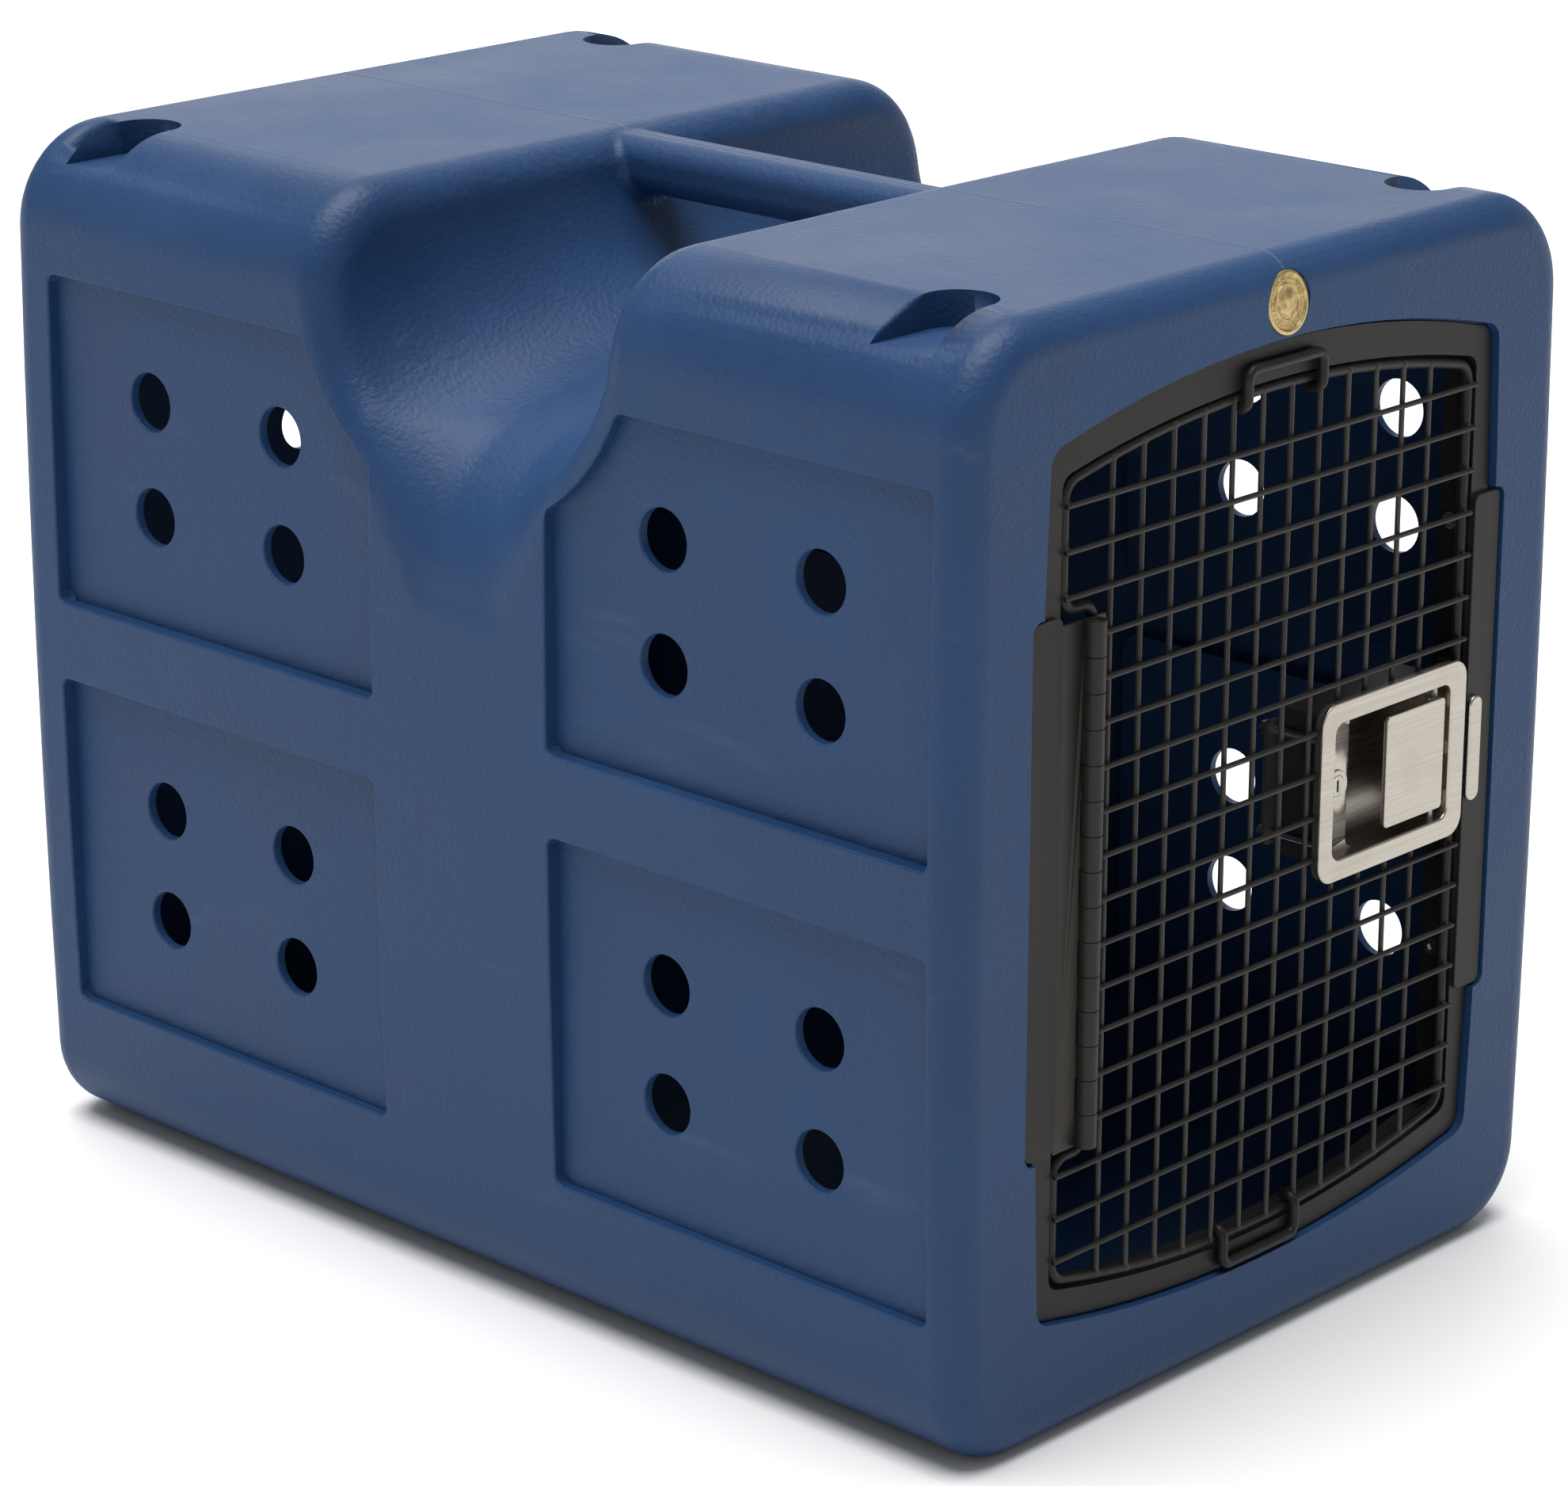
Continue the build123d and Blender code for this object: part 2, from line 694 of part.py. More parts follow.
def hinge_leaf(own: bool, inner_x: float, outer_x: float, name: str) -> None:
    """A leaf of the long hinge with its own knuckles, notched beside the other leaf's knuckles."""
    low_x = min(inner_x, outer_x)
    high_x = max(inner_x, outer_x)
    swept = sqrt((barrel_radius + leaf_gap) ** 2 - (barrel_radius - leaf_thickness) ** 2)
    with BuildPart() as leaf:
        with BuildSketch(Plane.XZ.offset(-flange_front_y)):
            with Locations(((low_x + high_x) / 2, door_centre_z)):
                Rectangle(high_x - low_x, hinge_length)
        extrude(amount=leaf_thickness)
        for low, high in knuckle_spans(not own):
            with Locations((hinge_x, hinge_y, (low + high) / 2)):
                Box(2 * swept, 4 * barrel_radius, high - low + 2 * knuckle_gap, mode=Mode.SUBTRACT)
        for low, high in knuckle_spans(own):
            with Locations((hinge_x, hinge_y, low)):
                Cylinder(barrel_radius, high - low, align=(Align.CENTER, Align.CENTER, Align.MIN))
        with Locations((hinge_x, hinge_y, door_centre_z)):
            Cylinder(hinge_pin_radius + running_clearance, hinge_length * 2, mode=Mode.SUBTRACT)
    save(leaf.part, name)


hinge_leaf(True, hinge_x, -side_plate_reach + side_plate_width, "hinge_frame_leaf")
hinge_leaf(False, hinge_x, hinge_x + door_leaf_reach, "hinge_door_leaf")

with BuildPart() as hinge_pin:
    with Locations((hinge_x, hinge_y, door_centre_z)):
        Cylinder(hinge_pin_radius, hinge_length - 2)
    chamfer(hinge_pin.edges(), knuckle_gap)
save(hinge_pin.part, "hinge_pin")

# ---------------------------------------------------------------- wire door


def rim_height(x: float, top: bool) -> float:
    """The Z of the rim rod's middle line at an X, on its top or bottom arc."""
    inset = door_gap + rim_radius
    rise = frame_inner_rise if top else frame_bottom_drop
    end_z = opening_top_z - inset if top else opening_bottom_z + inset
    arc_radius = (rim_half_width**2 + rise**2) / (2 * rise)
    lift = sqrt(arc_radius**2 - x**2) - (arc_radius - rise)
    return end_z + lift if top else end_z - lift


rim_plane = Plane.XZ.offset(-rim_y)
jog_top = door_centre_z + rim_jog_half_height
jog_bottom = door_centre_z - rim_jog_half_height
rim_top_z = rim_height(rim_half_width, True)
rim_bottom_z = rim_height(rim_half_width, False)

with BuildSketch(rim_plane) as rim_outline:
    with BuildLine():
        corners = [
            (-rim_half_width, rim_bottom_z),
            (-rim_half_width, jog_bottom),
            (jog_x, jog_bottom),
            (jog_x, jog_top),
            (-rim_half_width, jog_top),
            (-rim_half_width, rim_top_z),
        ]
        Polyline(*corners)
        ThreePointArc(corners[-1], (0, rim_height(0, True)), (rim_half_width, rim_top_z))
        Line((rim_half_width, rim_top_z), (rim_half_width, rim_bottom_z))
        ThreePointArc((rim_half_width, rim_bottom_z), (0, rim_height(0, False)), corners[0])
    make_face()
    jogs = rim_outline.vertices().filter_by(lambda point: abs(point.Y - door_centre_z) < rim_jog_half_height + 1)
    fillet(jogs, rim_jog_radius)
    ends = rim_outline.vertices().filter_by(lambda point: abs(point.Y - door_centre_z) > rim_jog_half_height + 30)
    fillet(ends, rim_corner_radius)
rim_path = rim_outline.sketch.face().outer_wire()

with BuildPart() as door_rim_rod:
    with BuildSketch(Plane(origin=rim_path @ 0, z_dir=rim_path % 0)):
        Circle(rim_radius)
    sweep(path=rim_path)
save(door_rim_rod.part, "door_rim_rod")


def in_box(x: float, z: float, margin: float) -> bool:
    """Whether a point lies behind the latch's housing."""
    across = housing_left_x - margin < x < housing_right_x + margin
    return across and abs(z - door_centre_z) < housing_half_height + margin


with BuildPart() as door_upright_wires:
    for index in range(upright_count):
        x = (index - (upright_count - 1) / 2) * mesh_pitch
        low = rim_height(x, False)
        high = rim_height(x, True)
        spans = [(low, high)]
        if in_box(x, door_centre_z, wire_radius + weld_gap):
            edge = housing_half_height + weld_gap
            spans = [(low, door_centre_z - edge), (door_centre_z + edge, high)]
        for bottom, top in spans:
            with Locations((x, upright_y, bottom)):
                Cylinder(wire_radius, top - bottom, align=(Align.CENTER, Align.CENTER, Align.MIN))
    add(door_rim_rod.part, mode=Mode.SUBTRACT)
    keep = door_upright_wires.solids().filter_by(lambda solid: solid.bounding_box().size.Z > 3 * rim_radius)
door_upright_wires.part = Part(keep)
save(door_upright_wires.part, "door_upright_wires")

with BuildPart() as door_cross_wires:
    for index in range(cross_count):
        z = door_centre_z + (index - (cross_count - 1) / 2) * mesh_pitch
        rise = z - door_centre_z
        left = -rim_half_width - cross_overhang
        if abs(rise) < hinge_length / 2 + wire_radius:
            left = hinge_x + door_leaf_reach + weld_gap
        elif abs(rise) < rim_jog_half_height:
            left = jog_x - cross_overhang
        right = rim_half_width + cross_overhang
        spans = [(left, right)]
        if abs(rise) < latch_height / 2 - seat_margin + wire_radius:
            spans = [
                (left, latch_x - latch_width / 2 + seat_margin - weld_gap),
                (latch_right_x - seat_margin + weld_gap, right),
            ]
        for start_x, end_x in spans:
            with Locations((start_x, cross_y, z)):
                Cylinder(
                    wire_radius, end_x - start_x, rotation=(0, 90, 0), align=(Align.CENTER, Align.CENTER, Align.MIN)
                )
save(door_cross_wires.part, "door_cross_wires")


def stop_loop(top: bool, name: str) -> None:
    """A bent rod that hooks round the rim and laps over the frame."""
    side = 1 if top else -1
    rod_y = flange_front_y - stop_loop_gap - rim_radius
    bar_z = rim_height(0, top) + side * stop_loop_reach
    hook_z = rim_height(stop_loop_half_width, top) - side * 2 * rim_radius
    with BuildPart() as loop:
        with BuildLine() as path:
            points = [
                (-stop_loop_half_width, rod_y + stop_loop_hook_length, hook_z),
                (-stop_loop_half_width, rod_y, hook_z),
                (-stop_loop_half_width, rod_y, bar_z),
                (stop_loop_half_width, rod_y, bar_z),
                (stop_loop_half_width, rod_y, hook_z),
                (stop_loop_half_width, rod_y + stop_loop_hook_length, hook_z),
            ]
            FilletPolyline(*points, radius=stop_loop_hook_radius)
        with BuildSketch(Plane(origin=path.line @ 0, z_dir=path.line % 0)):
            Circle(rim_radius)
        sweep(path=path.line)
    save(loop.part, name)


stop_loop(True, "top_stop_loop")
stop_loop(False, "bottom_stop_loop")

# ---------------------------------------------------------------- latch pan


def latch_block(front_y: float, back_y: float, ledge_back: float, grow: float) -> Part:
    """The dish's block: a deep pocket with a shallow ledge at its left, grown all round."""
    with BuildPart() as block:
        centre = (dish_left_x + dish_right_x) / 2
        with BuildSketch(Plane.XZ.offset(-front_y)):
            with Locations((centre, door_centre_z)):
                RectangleRounded(dish_width + 2 * grow, dish_height + 2 * grow, dish_radius + grow)
        extrude(amount=-(back_y - front_y))
        with BuildSketch(Plane.XZ.offset(-front_y)):
            with Locations(((ledge_left_x + dish_right_x) / 2, door_centre_z)):
                RectangleRounded(
                    dish_right_x - ledge_left_x + 2 * grow, dish_height + 2 * grow, dish_radius + grow
                )
        extrude(amount=-(ledge_back - front_y))
    return block.part


def latch_outline(y: float, margin: float, depth: float) -> Part:
    """A plate of the latch's outline, less a margin, set back from a front face."""
    with BuildPart() as plate:
        with BuildSketch(Plane.XZ.offset(-y)):
            with Locations((latch_x, door_centre_z)):
                RectangleRounded(
                    latch_width - 2 * margin, latch_height - 2 * margin, latch_corner_radius - margin
                )
        extrude(amount=-depth)
    return plate.part


def y_cylinders(places: list[tuple[float, float]], radius: float, front_y: float, back_y: float) -> Part:
    """A cylinder along Y at each X and Z place."""
    with BuildPart() as cylinders:
        for x, z in places:
            with Locations((x, (front_y + back_y) / 2, z)):
                Cylinder(radius, back_y - front_y, rotation=(90, 0, 0))
    return cylinders.part


rivet_places = [(paddle_left_x - rivet_offset_x, door_centre_z + level * rivet_offset_z) for level in (-1, 1)]

with BuildPart() as latch_pan:
    add(latch_outline(latch_front_y, 0, latch_thickness))
    add(latch_block(latch_front_y, dish_back_y, ledge_back_y, latch_thickness))
    add(latch_block(latch_front_y, dish_floor_y, ledge_floor_y, 0), mode=Mode.SUBTRACT)
    front = latch_pan.faces().sort_by(Axis.Y)[0]
    fillet(front.inner_wires().edges(), dish_lip_radius)
    front = latch_pan.faces().sort_by(Axis.Y)[0]
    fillet(front.outer_wire().edges(), latch_thickness / 2)
    add(
        y_cylinders([(lock_x, door_centre_z)], lock_barrel_radius + running_clearance, latch_front_y, dish_back_y),
        mode=Mode.SUBTRACT,
    )
    add(y_cylinders(rivet_places, rivet_radius + running_clearance, dish_floor_y, dish_back_y), mode=Mode.SUBTRACT)
    with Locations((paddle_pin_x, paddle_pin_y, door_centre_z)):
        Cylinder(paddle_pin_radius + running_clearance, dish_height + 2 * latch_thickness, mode=Mode.SUBTRACT)
    slot_left = paddle_pin_x - tail_length * sin(radians(paddle_swing)) - tail_window_left
    slot_right = paddle_pin_x + tail_window_right
    with Locations(((slot_left + slot_right) / 2, dish_floor_y, door_centre_z)):
        Box(slot_right - slot_left, wall, tail_height + 2, mode=Mode.SUBTRACT)
save(latch_pan.part, "latch_pan")

with BuildPart() as latch_gasket:
    add(latch_outline(gasket_front_y, seat_margin, gasket_thickness))
    add(latch_block(latch_front_y, dish_back_y, dish_back_y, latch_thickness + pan_clearance), mode=Mode.SUBTRACT)
    add(y_cylinders(stud_places, stud_radius + running_clearance, latch_front_y, seat_back_y), mode=Mode.SUBTRACT)
save(latch_gasket.part, "latch_gasket")

with BuildPart() as latch_seat_plate:
    add(latch_outline(seat_front_y, seat_margin, seat_thickness))
    add(latch_block(latch_front_y, dish_back_y, dish_back_y, latch_thickness + pan_clearance), mode=Mode.SUBTRACT)
    add(y_cylinders(stud_places, stud_radius + running_clearance, latch_front_y, dish_back_y), mode=Mode.SUBTRACT)
save(latch_seat_plate.part, "latch_seat_plate")

with BuildPart() as pan_rivets:
    add(y_cylinders(rivet_places, rivet_radius, dish_floor_y, dish_back_y))
    add(y_cylinders(rivet_places, rivet_radius * 1.7, dish_floor_y - rivet_radius / 2, dish_floor_y))
    fillet(pan_rivets.faces().group_by(Axis.Y)[0].edges(), rivet_radius * 0.4)
save(pan_rivets.part, "pan_rivets")

# ---------------------------------------------------------------- lock

with BuildPart() as lock_barrel:
    here = [(lock_x, door_centre_z)]
    add(y_cylinders(here, lock_flange_radius, ledge_floor_y - lock_proud, ledge_floor_y))
    fillet(lock_barrel.faces().sort_by(Axis.Y)[0].edges(), lock_proud / 2)
    add(y_cylinders(here, lock_barrel_radius, ledge_floor_y - lock_proud / 2, ledge_floor_y + lock_length))
    add(
        y_cylinders(here, lock_plug_radius + running_clearance, latch_front_y, ledge_floor_y + lock_length * 2),
        mode=Mode.SUBTRACT,
    )
save(lock_barrel.part, "lock_barrel")

with BuildPart() as lock_plug:
    plug_front_y = ledge_floor_y - lock_proud - 0.3
    add(y_cylinders(here, lock_plug_radius, plug_front_y, ledge_floor_y + lock_length + pan_clearance))
    chamfer(lock_plug.faces().sort_by(Axis.Y)[0].edges(), 0.4)
    with Locations((lock_x, plug_front_y, door_centre_z)):
        Box(key_slot_width, lock_length, key_slot_height, mode=Mode.SUBTRACT)
save(lock_plug.part, "lock_plug")

with BuildPart() as lock_cam:
    with BuildSketch(Plane.XZ.offset(-(ledge_floor_y + lock_length + pan_clearance))):
        with Locations((lock_x, door_centre_z)):
            Circle(cam_width / 2 + 1)
        with Locations((lock_x, door_centre_z - (cam_reach - cam_width / 2) / 2)):
            Rectangle(cam_width, cam_reach - cam_width / 2)
        with Locations((lock_x, door_centre_z - cam_reach + cam_width / 2)):
            Circle(cam_width / 2)
    extrude(amount=-cam_thickness)
save(lock_cam.part, "lock_cam")

# ---------------------------------------------------------------- paddle

with BuildPart() as paddle_pin:
    with Locations((paddle_pin_x, paddle_pin_y, door_centre_z)):
        Cylinder(paddle_pin_radius, dish_height + 2 * latch_thickness - 0.2)
save(paddle_pin.part, "paddle_pin")

paddle_front_y = latch_front_y + paddle_recess
paddle_back_y = paddle_front_y + paddle_thickness

with BuildPart() as latch_paddle:
    with BuildSketch(Plane.XZ.offset(-paddle_front_y)):
        with Locations((paddle_left_x + paddle_width / 2, door_centre_z)):
            RectangleRounded(paddle_width, paddle_height, latch_corner_radius / 4)
    extrude(amount=-paddle_thickness)
    fillet(latch_paddle.faces().sort_by(Axis.Y)[0].edges(), paddle_thickness / 3)
    with Locations((paddle_left_x + paddle_lip_radius, paddle_back_y, door_centre_z)):
        Cylinder(paddle_lip_radius, paddle_height - latch_corner_radius / 2)
    for level in (-1, 1):
        hub_z = door_centre_z + level * paddle_hub_offset
        with Locations((paddle_pin_x, paddle_pin_y, hub_z)):
            Cylinder(paddle_hub_radius, paddle_hub_length)
        web = paddle_pin_y - paddle_back_y + paddle_thickness / 2
        with Locations((paddle_pin_x - paddle_hub_radius / 2, paddle_pin_y - web / 2, hub_z)):
            Box(paddle_hub_radius, web, paddle_hub_length)
    with Locations((paddle_pin_x, paddle_back_y - paddle_thickness / 2, door_centre_z)):
        tail_total = tail_length + paddle_pin_y - paddle_back_y + paddle_thickness / 2
        Box(paddle_thickness, tail_total, tail_height, align=(Align.CENTER, Align.MIN, Align.CENTER))
    with Locations((paddle_pin_x, paddle_pin_y, door_centre_z)):
        Cylinder(paddle_hub_radius - 1, tail_height)
    with Locations((paddle_pin_x, paddle_pin_y, door_centre_z)):
        Cylinder(paddle_pin_radius + running_clearance, paddle_height * 2, mode=Mode.SUBTRACT)
save(latch_paddle.part, "latch_paddle")

with BuildPart() as paddle_spring:
    for level in (-1, 1):
        gap_middle = (paddle_hub_offset - paddle_hub_length / 2 + tail_height / 2) / 2
        low_z = door_centre_z + level * gap_middle - spring_length / 2
        with BuildLine() as coil:
            Helix(spring_pitch, spring_length, spring_bore_radius + spring_wire_radius, center=(0, 0, 0))
        with BuildLine() as placed:
            add(coil.line.moved(Location((paddle_pin_x, paddle_pin_y, low_z))))
        with BuildSketch(Plane(origin=placed.line @ 0, z_dir=placed.line % 0)):
            Circle(spring_wire_radius)
        sweep(path=placed.line, is_frenet=True)
save(paddle_spring.part, "paddle_spring")

# ---------------------------------------------------------------- bolt, housing and clamps

with BuildPart() as latch_bolt:
    tip_x = opening_half_width - bolt_tip_gap
    with Locations(((bolt_tail_x + tip_x) / 2, (bolt_front_y + bolt_back_y) / 2, door_centre_z)):
        Box(tip_x - bolt_tail_x, bolt_thickness, bolt_height)
    tip_edges = latch_bolt.edges().filter_by(Axis.Z).sort_by(Axis.X)[-2:]
    chamfer(tip_edges.sort_by(Axis.Y)[-1], bolt_bevel)
    window_left = paddle_pin_x - tail_window_left
    window_right = paddle_pin_x + tail_window_right
    with Locations(((window_left + window_right) / 2, bolt_front_y, door_centre_z)):
        Box(window_right - window_left, 2 * (bolt_thickness - 1.5), tail_height + 2, mode=Mode.SUBTRACT)
save(latch_bolt.part, "latch_bolt")

with BuildPart() as latch_housing:
    centre_x = (housing_left_x + housing_right_x) / 2
    with BuildSketch(Plane.XZ.offset(-seat_back_y)):
        with Locations((centre_x, door_centre_z)):
            RectangleRounded(housing_right_x - housing_left_x, 2 * housing_half_height, housing_radius)
    extrude(amount=-(housing_back_y + housing_wall - seat_back_y))
    fillet(latch_housing.faces().sort_by(Axis.Y)[-1].edges(), housing_wall)
    with BuildSketch(Plane.XZ.offset(-seat_back_y)):
        with Locations((centre_x, door_centre_z)):
            RectangleRounded(
                housing_right_x - housing_left_x - 2 * housing_wall,
                2 * (housing_half_height - housing_wall),
                housing_radius - housing_wall,
            )
    extrude(amount=-(housing_back_y - seat_back_y), mode=Mode.SUBTRACT)
    with Locations((housing_right_x, (bolt_front_y + bolt_back_y) / 2, door_centre_z)):
        Box(
            wall * 2,
            bolt_thickness + 2 * bolt_clearance,
            bolt_height + 2 * bolt_clearance,
            mode=Mode.SUBTRACT,
        )
save(latch_housing.part, "latch_housing")

with BuildPart() as clamp_studs:
    add(y_cylinders(stud_places, stud_radius, gasket_front_y, strap_front_y + strap_thickness + nut_height + stud_tail))
    chamfer(clamp_studs.faces().group_by(Axis.Y)[-1].edges(), 0.5)
save(clamp_studs.part, "clamp_studs")

with BuildPart() as clamp_straps:
    for side in (-1, 1):
        strap_x = latch_x + side * (latch_width / 2 - stud_inset)
        with BuildSketch(Plane.XZ.offset(-strap_front_y)):
            with Locations((strap_x, door_centre_z)):
                RectangleRounded(strap_width, 2 * (stud_offset_z + strap_overhang), strap_width / 4)
        extrude(amount=-strap_thickness)
    add(
        y_cylinders(stud_places, stud_radius + running_clearance, strap_front_y - 1, strap_front_y + wall),
        mode=Mode.SUBTRACT,
    )
save(clamp_straps.part, "clamp_straps")

with BuildPart() as clamp_nuts:
    nut_front_y = strap_front_y + strap_thickness
    for x, z in stud_places:
        with BuildSketch(Plane.XZ.offset(-nut_front_y)):
            with Locations((x, z)):
                RegularPolygon(nut_across_flats / 2, 6, major_radius=False)
        extrude(amount=-nut_height)
    add(
        y_cylinders(stud_places, stud_radius + running_clearance, nut_front_y - 1, nut_front_y + 2 * nut_height),
        mode=Mode.SUBTRACT,
    )
save(clamp_nuts.part, "clamp_nuts")
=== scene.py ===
"""A moulded dog kennel with a steel framed wire door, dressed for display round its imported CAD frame."""

import json
import logging
import math
from collections.abc import Callable
from dataclasses import dataclass, field
from enum import Enum

import bmesh
import bpy
from mathutils import Matrix, Vector

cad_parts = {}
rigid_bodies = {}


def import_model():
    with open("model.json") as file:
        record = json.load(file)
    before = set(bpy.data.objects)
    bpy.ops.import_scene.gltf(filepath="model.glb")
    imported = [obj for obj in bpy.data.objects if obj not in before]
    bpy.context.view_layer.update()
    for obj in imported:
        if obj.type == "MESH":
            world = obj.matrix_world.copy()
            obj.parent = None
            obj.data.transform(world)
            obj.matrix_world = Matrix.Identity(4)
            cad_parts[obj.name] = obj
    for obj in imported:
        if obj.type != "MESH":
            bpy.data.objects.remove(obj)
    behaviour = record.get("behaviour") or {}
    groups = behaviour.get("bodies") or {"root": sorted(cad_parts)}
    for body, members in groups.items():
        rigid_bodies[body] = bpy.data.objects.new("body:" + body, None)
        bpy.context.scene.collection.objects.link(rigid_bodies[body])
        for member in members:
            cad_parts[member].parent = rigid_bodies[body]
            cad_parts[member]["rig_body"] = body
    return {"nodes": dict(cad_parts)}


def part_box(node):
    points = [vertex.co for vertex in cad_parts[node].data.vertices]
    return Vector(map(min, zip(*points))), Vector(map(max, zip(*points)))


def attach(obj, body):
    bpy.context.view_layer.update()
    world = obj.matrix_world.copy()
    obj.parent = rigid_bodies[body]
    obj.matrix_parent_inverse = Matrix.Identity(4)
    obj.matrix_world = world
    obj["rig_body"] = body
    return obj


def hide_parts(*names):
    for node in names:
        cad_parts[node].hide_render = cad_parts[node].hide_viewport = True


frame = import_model()
log = logging.getLogger("kennel")

Colour = tuple[float, float, float]


# ---------------------------------------------------------------- material building


class Axis(Enum):
    """A direction that a brushed or drawn grain runs along."""

    X = 0
    Y = 1
    Z = 2


class NodeSheet:
    """A material's node tree, with short calls for the nodes a finish is made from."""

    def __init__(self, name: str) -> None:
        """Starts a material with one Principled shader.

        Args:
            name: The material's name.
        """
        self.material = bpy.data.materials.new(name)
        self.material.use_nodes = True
        self.tree = self.material.node_tree
        self.shader = self.tree.nodes["Principled BSDF"]
        self.coordinates = self.tree.nodes.new("ShaderNodeTexCoord")

    def put(self, socket: str, value: object) -> None:
        """Sets a shader socket's own value."""
        self.shader.inputs[socket].default_value = value

    def link(self, source: bpy.types.NodeSocket, target: bpy.types.NodeSocket) -> None:
        """Joins two sockets."""
        self.tree.links.new(source, target)

    def placed(
        self, scale: Colour, turn: Colour = (0, 0, 0), shift: Colour = (0, 0, 0)
    ) -> bpy.types.NodeSocket:
        """Object coordinates, scaled, turned and shifted.

        Args:
            scale: Repeats per metre on each axis.
            turn: Turn about each axis, in radians.
            shift: Move along each axis, after scaling.

        Returns:
            The vector output.
        """
        mapping = self.tree.nodes.new("ShaderNodeMapping")
        mapping.inputs["Scale"].default_value = scale
        mapping.inputs["Rotation"].default_value = turn
        mapping.inputs["Location"].default_value = shift
        self.link(self.coordinates.outputs["Object"], mapping.inputs["Vector"])
        return mapping.outputs["Vector"]

    def noise(
        self, scale: Colour, detail: float = 3.0, roughness: float = 0.5, shift: Colour = (0, 0, 0)
    ) -> bpy.types.NodeSocket:
        """A fractal noise value on Object coordinates.

        Args:
            scale: Repeats per metre on each axis.
            detail: Octaves.
            roughness: How strong the small octaves are.
            shift: Moves the pattern, so that two noises differ.

        Returns:
            The value output, about 0 to 1.
        """
        node = self.tree.nodes.new("ShaderNodeTexNoise")
        node.inputs["Scale"].default_value = 1.0
        node.inputs["Detail"].default_value = detail
        node.inputs["Roughness"].default_value = roughness
        self.link(self.placed(scale, shift=shift), node.inputs["Vector"])
        return node.outputs["Fac"]

    def cells(self, scale: Colour, smooth: float = 0.6) -> bpy.types.NodeSocket:
        """The distance to the nearest point of a cell pattern, for pebbled skins."""
        node = self.tree.nodes.new("ShaderNodeTexVoronoi")
        node.feature = "SMOOTH_F1"
        node.inputs["Smoothness"].default_value = smooth
        node.inputs["Scale"].default_value = 1.0
        self.link(self.placed(scale), node.inputs["Vector"])
        return node.outputs["Distance"]

    def spread(
        self, value: bpy.types.NodeSocket, low: float, high: float, start: float = 0.0, end: float = 1.0
    ) -> bpy.types.NodeSocket:
        """Maps a value from one span onto another, clamped.

        Args:
            value: The value to map.
            low: The result at start.
            high: The result at end.
            start: Where the span begins.
            end: Where the span ends.

        Returns:
            The mapped value.
        """
        node = self.tree.nodes.new("ShaderNodeMapRange")
        node.inputs["From Min"].default_value = start
        node.inputs["From Max"].default_value = end
        node.inputs["To Min"].default_value = low
        node.inputs["To Max"].default_value = high
        self.link(value, node.inputs["Value"])
        return node.outputs["Result"]

    def blend(self, amount: bpy.types.NodeSocket, first: object, second: object) -> bpy.types.NodeSocket:
        """Mixes two colours, each a colour or a socket.

        Args:
            amount: 0 gives the first, 1 the second.
            first: A colour or a colour output.
            second: A colour or a colour output.

        Returns:
            The mixed colour.
        """
        node = self.tree.nodes.new("ShaderNodeMix")
        node.data_type = "RGBA"
        self.link(amount, node.inputs["Factor"])
        for name, colour in (("A", first), ("B", second)):
            socket = [item for item in node.inputs if item.name == name and item.type == "RGBA"][0]
            if isinstance(colour, tuple):
                socket.default_value = (*colour, 1.0)
            else:
                self.link(colour, socket)
        return [item for item in node.outputs if item.type == "RGBA"][0]

    def sums(self, operation: str, first: object, second: object) -> bpy.types.NodeSocket:
        """One arithmetic step on two values, each a number or a socket."""
        node = self.tree.nodes.new("ShaderNodeMath")
        node.operation = operation
        for socket, value in zip(node.inputs, (first, second)):
            if isinstance(value, (int, float)):
                socket.default_value = value
            else:
                self.link(value, socket)
        return node.outputs["Value"]

    def relief(self, layers: list[tuple[bpy.types.NodeSocket, float]]) -> None:
        """Stacks bump layers onto the shader's normal.

        Args:
            layers: Each height with its depth in metres.
        """
        below = None
        for height, depth in layers:
            node = self.tree.nodes.new("ShaderNodeBump")
            node.inputs["Strength"].default_value = 1.0
            node.inputs["Distance"].default_value = depth
            self.link(height, node.inputs["Height"])
            if below is not None:
                self.link(below, node.inputs["Normal"])
            below = node.outputs["Normal"]
        self.link(below, self.shader.inputs["Normal"])

    def stripe(self, half_width: float, above: float) -> bpy.types.NodeSocket:
        """A mask along the plane X = 0 that fades out from a middle line, only over a height.

        Args:
            half_width: Where the mask reaches nothing, in metres.
            above: The height it starts at.

        Returns:
            The mask.
        """
        node = self.tree.nodes.new("ShaderNodeSeparateXYZ")
        self.link(self.coordinates.outputs["Object"], node.inputs["Vector"])
        offset = self.sums("ABSOLUTE", node.outputs["X"], 0.0)
        across = self.spread(offset, 1.0, 0.0, half_width * 0.2, half_width)
        return self.sums("MULTIPLY", across, self.spread(node.outputs["Z"], 0.0, 1.0, above, above + 0.002))

    def edge_wear(self, low: float, high: float) -> bpy.types.NodeSocket:
        """A mask that rises on convex edges."""
        node = self.tree.nodes.new("ShaderNodeNewGeometry")
        return self.spread(node.outputs["Pointiness"], 0.0, 1.0, low, high)


